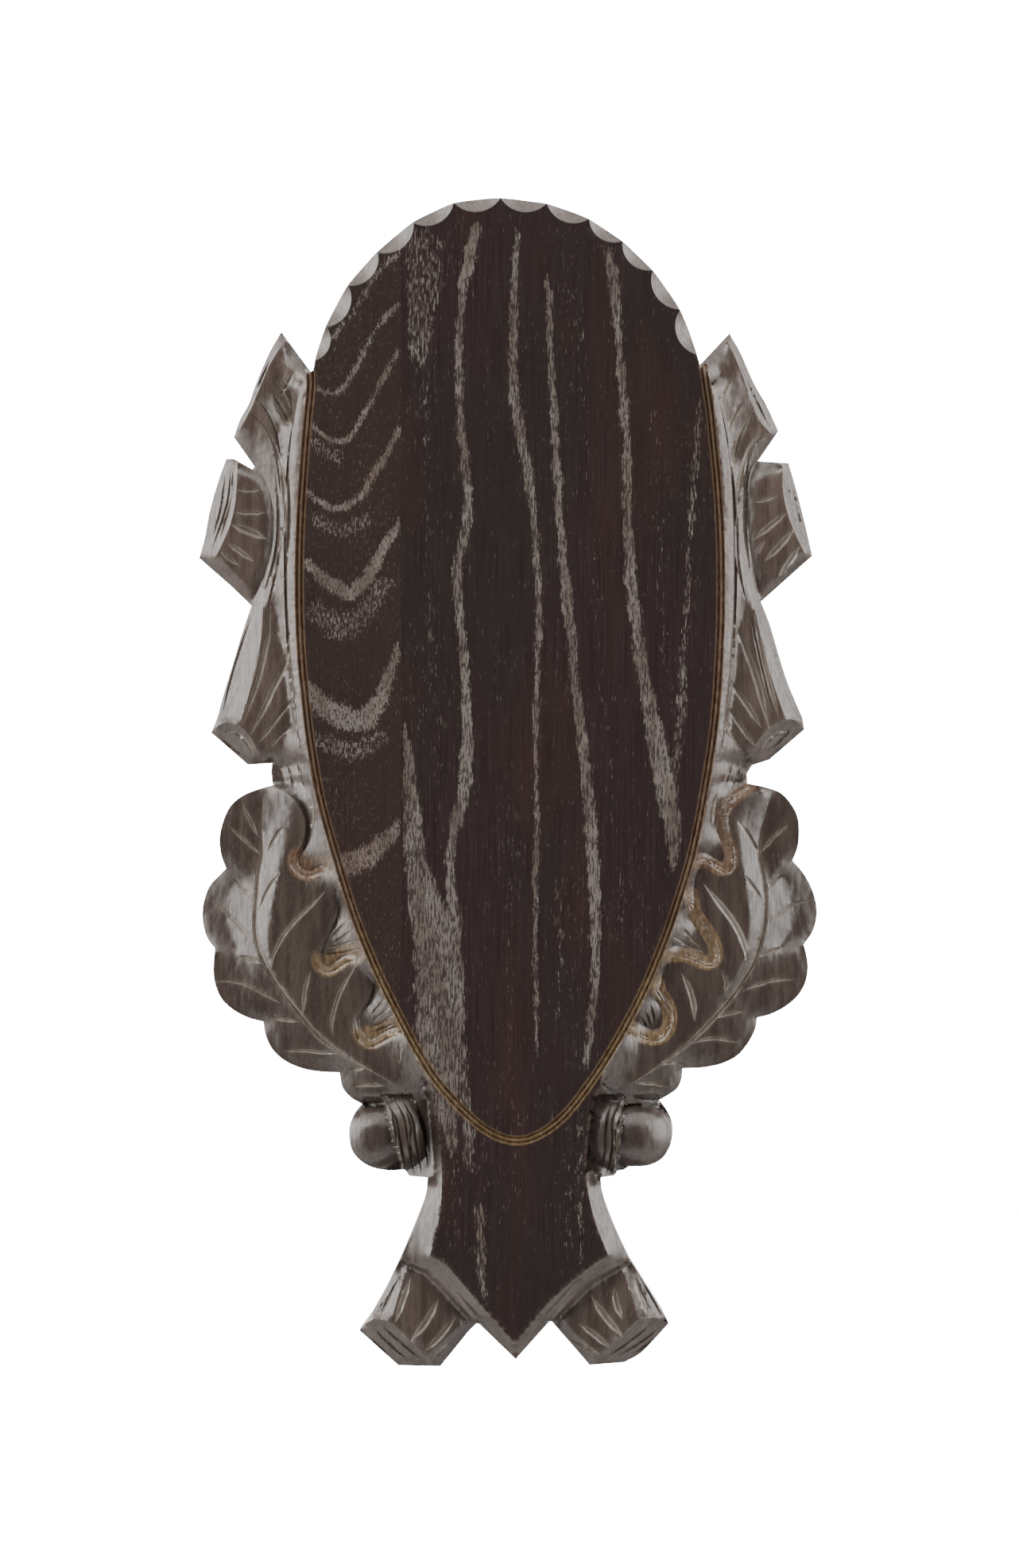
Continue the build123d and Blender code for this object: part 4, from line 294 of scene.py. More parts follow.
# V tool cuts: width, depth, taper at each end, then (x, z).
CUTS = [
    (1.36, 0.75, 1, 1, [(-52.53, -3.23), (-52.7, -6.63), (-52.87, -10.88), (-52.87, -15.13), (-53.55, -19.38),
     (-54.06, -26.18), (-54.23, -31.28), (-53.38, -35.87), (-50.32, -41.82), (-47.26, -46.07), (-43.86, -50.32),
     (-40.46, -54.23), (-37.23, -56.78), (-34, -58.82), (-30.6, -60.69), (-25.16, -63.75)]),
    (1.02, 0.55, 1, 1, [(-59.84, -9.18), (-56.95, -11.73), (-53.21, -15.13)]),
    (1.02, 0.55, 1, 1, [(-56.95, -4.42), (-55.59, -7.48), (-53.55, -11.39)]),
    (1.02, 0.55, 1, 1, [(-58.99, -19.89), (-57.12, -22.27), (-54.91, -24.82)]),
    (1.02, 0.55, 1, 1, [(-64.09, -24.82), (-60.35, -27.88), (-57.8, -30.6), (-54.74, -34.34)]),
    (1.02, 0.55, 1, 1, [(-57.8, -36.89), (-55.25, -37.57), (-52.87, -38.59)]),
    (1.02, 0.55, 1, 1, [(-62.22, -42.5), (-59.16, -42.33), (-55.76, -43.18), (-52.36, -45.05), (-48.96, -46.92)]),
    (1.02, 0.55, 1, 1, [(-51, -50.15), (-48.11, -50.49), (-45.05, -51)]),
    (1.02, 0.55, 1, 1, [(-48.11, -57.29), (-44.2, -57.12), (-40.46, -57.46), (-37.23, -57.8)]),
    (1.02, 0.55, 1, 1, [(-34.34, -61.03), (-30.94, -61.03)]),
    (1.02, 0.55, 1, 1, [(-33.66, -64.77), (-30.43, -64.43), (-26.86, -64.6)]),
    (1.02, 0.55, 1, 1, [(-47.6, -8.84), (-49.3, -10.54), (-51.51, -14.45)]),
    (1.02, 0.55, 1, 1, [(-48.79, -19.04), (-51, -21.93), (-53.21, -26.52)]),
    (1.02, 0.55, 1, 1, [(-42.33, -40.12), (-43.52, -44.03), (-43.86, -48.96)]),
    (1.02, 0.55, 1, 1, [(-32.98, -49.47), (-32.81, -52.53), (-31.79, -55.76)]),
    (1.02, 0.55, 1, 1, [(-23.46, -55.25), (-23.29, -57.63), (-23.46, -60.18)]),
    (1.1, 0.55, 1, 1, [(-39.1, -22.95), (-42.16, -26.01), (-45.39, -29.07), (-48.45, -32.98), (-50.32, -36.89),
     (-50.83, -39.78)]),
    (1.1, 0.55, 1, 1, [(-32.81, -39.27), (-35.36, -43.18), (-37.06, -47.43), (-37.74, -50.83), (-37.57, -54.06)]),
    (1.36, 0.75, 1, 1, [(55.76, -4.08), (54.74, -7.48), (53.89, -10.88), (53.72, -15.13), (54.4, -19.38), (55.08,
     -24.48), (54.74, -30.43), (53.72, -34.68), (52.19, -38.93), (49.98, -42.5), (47.26, -46.41), (44.2, -49.81),
     (40.8, -53.38), (37.4, -56.44), (34, -58.99), (30.6, -61.37), (27.2, -63.58)]),
    (1.02, 0.55, 1, 1, [(59.84, -8.84), (56.95, -11.22), (54.06, -14.79)]),
    (1.02, 0.55, 1, 1, [(58.65, -19.55), (56.95, -20.91), (55.42, -22.61)]),
    (1.02, 0.55, 1, 1, [(64.6, -24.99), (61.2, -25.84), (58.48, -27.71), (55.93, -29.92)]),
    (1.02, 0.55, 1, 1, [(58.48, -35.02), (55.76, -36.04), (53.21, -37.23)]),
    (1.02, 0.55, 1, 1, [(61.2, -41.99), (57.29, -41.99), (53.55, -43.01), (50.49, -44.2)]),
    (1.02, 0.55, 1, 1, [(50.32, -48.79), (47.26, -49.13), (44.37, -50.15)]),
    (1.02, 0.55, 1, 1, [(48.96, -55.42), (45.05, -54.57), (41.82, -54.74), (39.27, -55.59)]),
    (1.02, 0.55, 1, 1, [(37.57, -60.01), (35.02, -59.67), (32.47, -60.01)]),
    (1.02, 0.55, 1, 1, [(34.34, -64.94), (30.94, -64.09), (27.37, -64.09)]),
    (1.02, 0.55, 1, 1, [(49.3, -8.33), (51, -10.37), (53.55, -14.79)]),
    (1.02, 0.55, 1, 1, [(50.32, -19.38), (51.85, -21.42), (54.23, -24.65)]),
    (1.02, 0.55, 1, 1, [(45.56, -39.95), (46.58, -42.33), (46.24, -45.05)]),
    (1.53, 0.6, 1, 1, [(41.82, -21.59), (44.71, -25.16), (47.6, -28.9), (49.64, -32.47), (50.66, -35.87), (51,
     -38.76)]),
    (1.36, 0.6, 1, 1, [(37.06, -40.63), (38.76, -44.03), (39.61, -47.43), (39.78, -50.66)]),
    (1.28, 0.69, 1, 1, [(-50.83, 37.57), (-51.51, 31.62), (-53.21, 23.46), (-55.42, 16.66), (-56.95, 12.58)]),
    (1.5, 0.75, 1, 1, [(-46.58, 32.3), (-47.43, 26.52), (-50.66, 19.72), (-53.21, 14.28), (-55.25, 10.37)]),
    (1.28, 0.69, 1, 1, [(-45.73, 18.36), (-48.96, 14.79), (-53.55, 8.5)]),
    (1.05, 0.56, 1, 1, [(-46.24, 12.58), (-48.96, 10.2), (-51, 7.65)]),
    (1.05, 0.5, 1, 1, [(-50.15, 32.98), (-49.47, 31.62), (-48.45, 29.58)]),
    (1.05, 0.56, 1, 1, [(-57.97, 62.73), (-55.76, 62.73), (-53.21, 62.73)]),
    (1.28, 0.69, 1, 1, [(-58.48, 57.97), (-55.25, 57.97), (-52.02, 57.97)]),
    (1.9, 0.94, 1, 1, [(-59.33, 55.42), (-55.76, 54.06), (-51.85, 52.36)]),
    (1.28, 0.62, 1, 1, [(-60.18, 51.51), (-57.46, 49.64), (-54.74, 47.6)]),
    (1.05, 0.56, 1, 1, [(-61.88, 49.98), (-59.84, 48.28), (-57.63, 46.58)]),
    (1.7, 0.88, 1, 1, [(-50.49, 83.47), (-48.79, 80.41), (-46.24, 75.99)]),
    (1.05, 0.56, 1, 1, [(-48.96, 87.38), (-47.6, 85), (-46.07, 82.96)]),
    (1.05, 0.56, 1, 1, [(-49.64, 86.02), (-48.11, 82.96), (-46.58, 80.24)]),
    (0.85, 0.44, 1, 1, [(-45.9, 87.72), (-47.26, 85.51), (-48.96, 82.96)]),
    (1.05, 0.56, 1, 1, [(-53.38, 77.86), (-51, 73.95), (-49.13, 69.36), (-48.11, 64.6), (-47.77, 58.82), (-48.11,
     52.02)]),
    (1.7, 0.88, 1, 1, [(48.45, 33.83), (51, 28.22), (53.38, 21.42), (54.74, 15.81), (55.59, 12.24)]),
    (1.28, 0.62, 1, 1, [(52.53, 36.38), (54.57, 26.52), (56.78, 18.02), (57.97, 13.6)]),
    (1.5, 0.75, 1, 1, [(47.6, 21.42), (50.66, 17.34), (54.06, 12.07)]),
    (1.28, 0.62, 1, 1, [(47.09, 15.81), (49.98, 11.9), (52.87, 7.82)]),
    (1.05, 0.56, 1, 1, [(46.24, 12.92), (48.62, 9.18), (51.34, 5.95)]),
    (1.28, 0.62, 1, 1, [(47.94, 87.21), (46.58, 84.32), (45.56, 81.6)]),
    (1.28, 0.69, 1, 1, [(49.98, 81.77), (48.28, 78.54), (46.75, 74.97)]),
    (1.5, 0.75, 1, 1, [(51.85, 79.22), (49.64, 74.63), (48.45, 70.38), (47.77, 65.62)]),
    (1.5, 0.75, 1, 1, [(53.89, 75.82), (51.34, 70.72), (49.64, 65.62), (48.79, 58.82)]),
    (1.05, 0.5, 1, 1, [(52.7, 60.18), (54.74, 60.69), (57.12, 61.37)]),
    (1.5, 0.69, 1, 1, [(52.7, 52.36), (56.1, 55.25), (59.5, 57.97)]),
    (1.5, 0.69, 1, 1, [(54.74, 47.6), (57.8, 50.66), (61.03, 54.4)]),
    (1.5, 0.69, 1, 1, [(57.63, 43.86), (59.84, 47.09), (62.22, 50.66)]),
    (1.05, 0.5, 1, 1, [(52.87, 48.62), (53.89, 50.66), (54.91, 52.19)]),
    (1.02, 0.52, 1, 1, [(-25.33, -108.97), (-26.35, -111.69), (-27.2, -114.24)]),
    (1.43, 0.65, 1, 1, [(-21.08, -105.91), (-22.78, -110.84), (-24.31, -115.26)]),
    (1.63, 0.78, 1, 1, [(-15.13, -110.5), (-17.68, -115.09), (-20.74, -119)]),
    (1.43, 0.72, 1, 1, [(-11.22, -113.9), (-14.96, -118.49), (-18.36, -121.72)]),
    (1.02, 0.52, 1, 1, [(-12.92, -119.68), (-14.45, -121.38), (-16.15, -123.08)]),
    (1.63, 0.78, 1, 1, [(17.85, -109.82), (20.91, -114.24), (24.48, -118.32)]),
    (1.43, 0.65, 1, 1, [(15.3, -115.77), (18.53, -117.98), (21.59, -120.7)]),
    (1.02, 0.52, 1, 1, [(12.75, -118.49), (16.15, -120.36), (19.72, -122.23)]),
    (1.43, 0.65, 1, 1, [(22.61, -107.78), (23.12, -111.18), (24.31, -114.58)]),
    (1.22, 0.59, 1, 1, [(26.69, -105.4), (28.39, -109.48), (29.41, -113.56)]),
    (0.85, 0.57, 1, 1, [(-34.51, -29.41), (-36.38, -31.28), (-38.08, -32.98)]),
    (0.85, 0.57, 1, 1, [(-33.49, -31.28), (-35.7, -32.98), (-37.91, -34.17)]),
    (0.85, 0.57, 1, 1, [(-32.64, -33.49), (-35.53, -34.34), (-38.76, -35.19)]),
    (0.68, 0.46, 1, 1, [(-31.96, -35.36), (-35.36, -36.04), (-39.1, -36.55)]),
    (0.85, 0.52, 1, 1, [(-26.52, -46.07), (-28.05, -47.94), (-29.41, -49.3)]),
    (0.85, 0.57, 1, 1, [(-25.5, -47.77), (-27.37, -49.47), (-29.58, -51)]),
    (0.85, 0.57, 1, 1, [(-24.65, -49.47), (-27.03, -51), (-29.58, -52.19)]),
    (0.68, 0.46, 1, 1, [(-23.97, -51.17), (-26.18, -52.02), (-28.9, -53.04)]),
    (1.19, 0.69, 1, 1, [(35.53, -32.98), (38.42, -34.51), (41.82, -36.21)]),
    (0.85, 0.52, 1, 1, [(36.55, -30.09), (38.42, -32.3), (41.14, -35.36)]),
    (0.68, 0.46, 1, 1, [(29.24, -48.62), (29.92, -50.32), (30.43, -51.85)]),
    (0.68, 0.46, 1, 1, [(30.43, -47.26), (30.94, -49.47), (31.28, -51.34)]),
    (0.68, 0.46, 1, 1, [(28.22, -49.81), (29.07, -51.17), (29.58, -52.02)]),
    (0.85, 0.4, 1, 1, [(-48.96, 3.06), (-48.28, 1.36), (-47.94, -0.34)]),
    (0.85, 0.4, 1, 1, [(-47.26, 3.74), (-46.41, 1.7), (-45.9, -0.68)]),
    (0.68, 0.34, 1, 1, [(-45.22, 4.08), (-44.37, 1.87), (-43.69, -0.68)]),
    (0.85, 0.4, 1, 1, [(-42.16, -2.38), (-41.82, -5.78), (-41.99, -10.03)]),
    (0.85, 0.4, 1, 1, [(47.77, 4.08), (46.92, 1.87), (46.07, -0.68)]),
    (0.85, 0.4, 1, 1, [(49.64, 3.4), (48.62, 1.36), (47.6, -1.02)]),
    (0.85, 0.4, 1, 1, [(44.71, -2.38), (44.03, -4.93), (43.52, -8.33)]),
    (0.78, 0.6, 1, 1, [(-25.67, -68.68), (-23.8, -72.42), (-23.29, -76.16), (-21.93, -82.96)]),
    (0.78, 0.6, 1, 1, [(-24.31, -67.83), (-22.44, -71.23), (-21.59, -75.82), (-20.23, -83.64)]),
    (0.78, 0.6, 1, 1, [(-22.95, -67.49), (-20.57, -71.74), (-19.89, -76.5), (-18.7, -83.3)]),
    (0.75, 0.5, 1, 1, [(-21.42, -67.15), (-18.7, -72.42), (-17.85, -77.18), (-17.17, -82.28)]),
    (0.71, 0.5, 1, 1, [(-24.99, -70.38), (-24.31, -73.78), (-23.97, -77.18)]),
    (0.71, 0.5, 1, 1, [(-21.93, -69.7), (-20.91, -73.44), (-21.08, -77.18), (-19.89, -80.58)]),
    (0.71, 0.4, 1, 1, [(-19.38, -69.36), (-18.02, -73.78), (-17.68, -78.88)]),
    (0.78, 0.6, 1, 1, [(24.99, -68.34), (23.46, -72.42), (23.63, -76.5), (22.44, -82.96)]),
    (0.78, 0.6, 1, 1, [(23.63, -68), (22.1, -72.42), (22.27, -77.18), (21.08, -83.47)]),
    (0.75, 0.5, 1, 1, [(22.27, -67.66), (20.91, -72.08), (20.74, -77.18), (19.89, -82.96)]),
    (0.71, 0.5, 1, 1, [(24.31, -70.72), (22.78, -74.63), (22.78, -78.88)]),
    (0.71, 0.4, 1, 1, [(21.59, -70.38), (20.4, -75.48), (20.4, -79.73)]),
    (0.78, 0.38, 1, 1, [(-54.4, 82.62), (-52.02, 79.9), (-49.98, 75.82), (-48.79, 70.72)]),
    (0.78, 0.38, 1, 1, [(-55.25, 79.22), (-52.7, 76.84), (-50.49, 73.1), (-49.3, 68.17), (-48.79, 62.22)]),
    (0.78, 0.38, 1, 1, [(-49.81, 65.62), (-49.3, 58.82), (-49.47, 52.02), (-50.49, 46.58), (-52.19, 41.82)]),
    (0.77, 0.4, 1, 1, [(-48.96, 50.32), (-49.64, 45.22), (-50.66, 40.97), (-51.68, 36.72)]),
    (0.78, 0.36, 1, 1, [(-46.92, 67.32), (-46.75, 58.82), (-47.09, 50.32), (-47.94, 43.52)]),
    (0.75, 0.32, 1, 1, [(-61.37, 14.62), (-59.16, 23.12), (-56.78, 30.77), (-54.74, 36.38)]),
    (0.78, 0.36, 1, 1, [(-59.5, 67.32), (-59.84, 61.37), (-61.2, 56.27), (-63.58, 49.98)]),
    (0.75, 0.34, 1, 1, [(-60.69, 65.62), (-61.54, 58.82), (-63.24, 52.87)]),
    (0.75, 0.32, 1, 1, [(-58.99, 67.66), (-59.16, 62.22), (-60.18, 57.12), (-61.88, 52.02)]),
    (0.78, 0.36, 1, 1, [(-51, 90.78), (-53.04, 86.02), (-55.08, 81.26), (-56.95, 77.52)]),
    (0.75, 0.32, 1, 1, [(-49.81, 93.16), (-52.02, 88.4), (-54.06, 83.98)]),
    (0.85, 0.45, 1, 1, [(-61.2, 10.88), (-59.16, 11.22), (-57.12, 10.03), (-55.42, 7.82), (-54.74, 5.95)]),
    (0.78, 0.38, 1, 1, [(-61.88, 10.2), (-59.5, 7.82), (-56.44, 5.61)]),
    (0.75, 0.34, 1, 1, [(-51.85, 32.13), (-53.04, 25.67), (-54.74, 19.72), (-56.27, 14.62)]),
    (0.75, 0.32, 1, 1, [(49.98, 91.97), (52.36, 86.53), (55.08, 80.58)]),
    (0.78, 0.36, 1, 1, [(48.62, 91.63), (51.17, 85.68), (53.89, 79.9), (55.76, 76.5)]),
    (0.78, 0.38, 1, 1, [(54.74, 74.46), (52.36, 72.08), (51, 68.17), (50.49, 63.07)]),
    (0.78, 0.38, 1, 1, [(52.87, 69.87), (51.17, 65.62), (50.66, 58.82), (50.83, 52.02), (51.68, 46.07)]),
    (0.78, 0.38, 1, 1, [(48.79, 58.82), (48.79, 50.32), (49.64, 43.52), (51, 38.42)]),
    (0.78, 0.36, 1, 1, [(60.52, 65.62), (61.54, 59.67), (63.24, 52.02)]),
    (0.75, 0.32, 1, 1, [(59.5, 67.32), (60.18, 61.37), (61.88, 54.06)]),
    (0.78, 0.36, 1, 1, [(54.91, 35.36), (57.12, 27.37), (59.5, 20.06), (60.86, 15.98)]),
    (0.75, 0.32, 1, 1, [(56.27, 35.36), (58.65, 27.54), (61.2, 18.02)]),
    (0.75, 0.34, 1, 1, [(51.68, 35.87), (53.72, 26.52), (55.76, 18.02), (56.78, 13.77)]),
    (0.85, 0.45, 1, 1, [(60.52, 10.88), (58.48, 11.22), (56.44, 10.03), (54.4, 7.82)]),
    (0.78, 0.38, 1, 1, [(61.88, 9.86), (59.16, 8.16), (56.44, 5.95)]),
    (0.75, 0.34, 1, 1, [(61.2, 12.58), (58.82, 9.86), (55.76, 6.97)]),
    (0.78, 0.36, 1, 1, [(-28.9, -116.62), (-25.5, -120.02), (-21.76, -123.42)]),
    (0.78, 0.36, 1, 1, [(-27.2, -115.94), (-22.95, -119.68), (-18.7, -123.42)]),
    (0.75, 0.32, 1, 1, [(-29.58, -118.66), (-25.5, -122.74)]),
    (0.78, 0.36, 1, 1, [(32.3, -116.62), (28.22, -119.68), (23.8, -122.4)]),
    (0.78, 0.36, 1, 1, [(30.26, -115.94), (26.35, -119), (21.76, -122.4)]),
    (0.75, 0.32, 1, 1, [(31.62, -118.66), (27.2, -122.06)]),
    (0.51, 0.2, 1, 1, [(-11.05, -108.63), (-6.46, -113.73), (0, -121.38)]),
    (0.51, 0.2, 1, 1, [(14.45, -106.42), (8.5, -112.88), (3.74, -119.34)]),
    (0.78, 0.36, 1, 1, [(-27.54, -113.73), (-25.5, -109.82), (-23.46, -105.74)]),
    (0.75, 0.32, 1, 1, [(-28.9, -114.92), (-26.52, -110.5)]),
    (0.78, 0.36, 1, 1, [(30.6, -113.22), (28.56, -109.14), (27.03, -105.06)]),
    (0.75, 0.34, 1, 1, [(32.81, -114.24), (30.6, -110.16), (28.22, -106.08)]),
    (0.75, 0.55, 1, 1, [(-44.88, 82.62), (-46.07, 76.84), (-46.92, 70.72), (-47.35, 63.92), (-47.6, 57.12), (-47.69,
     50.32), (-47.6, 41.82), (-47.26, 33.32), (-46.67, 24.82), (-45.9, 18.02), (-45.05, 11.22), (-44.37, 7.14)]),
    (0.75, 0.55, 1, 1, [(44.88, 82.62), (46.07, 76.84), (47.09, 70.72), (47.94, 63.92), (48.28, 57.12), (48.45,
     50.32), (48.45, 41.82), (48.11, 32.47), (47.6, 23.97), (46.92, 17.17), (46.07, 11.22), (45.39, 7.14)]),
]
CUSPS = [(-41.31, 90.27), (-38.76, 97.41), (-34.17, 106.25), (-27.88, 113.31), (-20.23, 119.6), (-11.73, 124.02),
    (-1.7, 125.04), (8.16, 123.85), (17.17, 120.53), (24.31, 115.77), (30.77, 109.57), (36.55, 101.15),
    (40.29, 91.46)]
FIELD_EDGE = [(40.63, 89.08), (41.14, 86.02), (42.16, 79.22), (42.84, 72.42), (43.52, 65.62), (44.03, 58.82), (44.37,
    50.32), (44.46, 41.82), (44.29, 31.62), (43.95, 24.82), (43.52, 18.02), (42.84, 11.22), (41.99, 5.27),
    (41.14, 0.17), (39.61, -8.33), (37.91, -15.98), (35.87, -22.78), (33.66, -29.58), (31.11, -36.38), (28.22,
    -43.18), (24.82, -49.98), (20.74, -57.12), (16.15, -64.09), (11.22, -70.21), (6.97, -73.61), (2.89,
    -75.23), (-0.68, -74.89), (-4.25, -73.19), (-7.65, -70.47), (-11.05, -67.06), (-14.96, -62.48), (-18.53,
    -56.78), (-22.1, -50.07), (-25.5, -43.35), (-28.65, -36.38), (-31.37, -29.58), (-33.66, -22.78), (-35.7,
    -15.98), (-37.66, -9.18), (-39.36, -2.38), (-40.63, 4.42), (-41.65, 11.22), (-42.42, 18.02), (-43.1,
    24.82), (-43.61, 33.32), (-43.78, 41.82), (-43.69, 50.32), (-43.35, 58.82), (-42.93, 65.62), (-42.42,
    72.42), (-41.82, 79.22), (-41.31, 84.66), (-41.4, 88.06)]
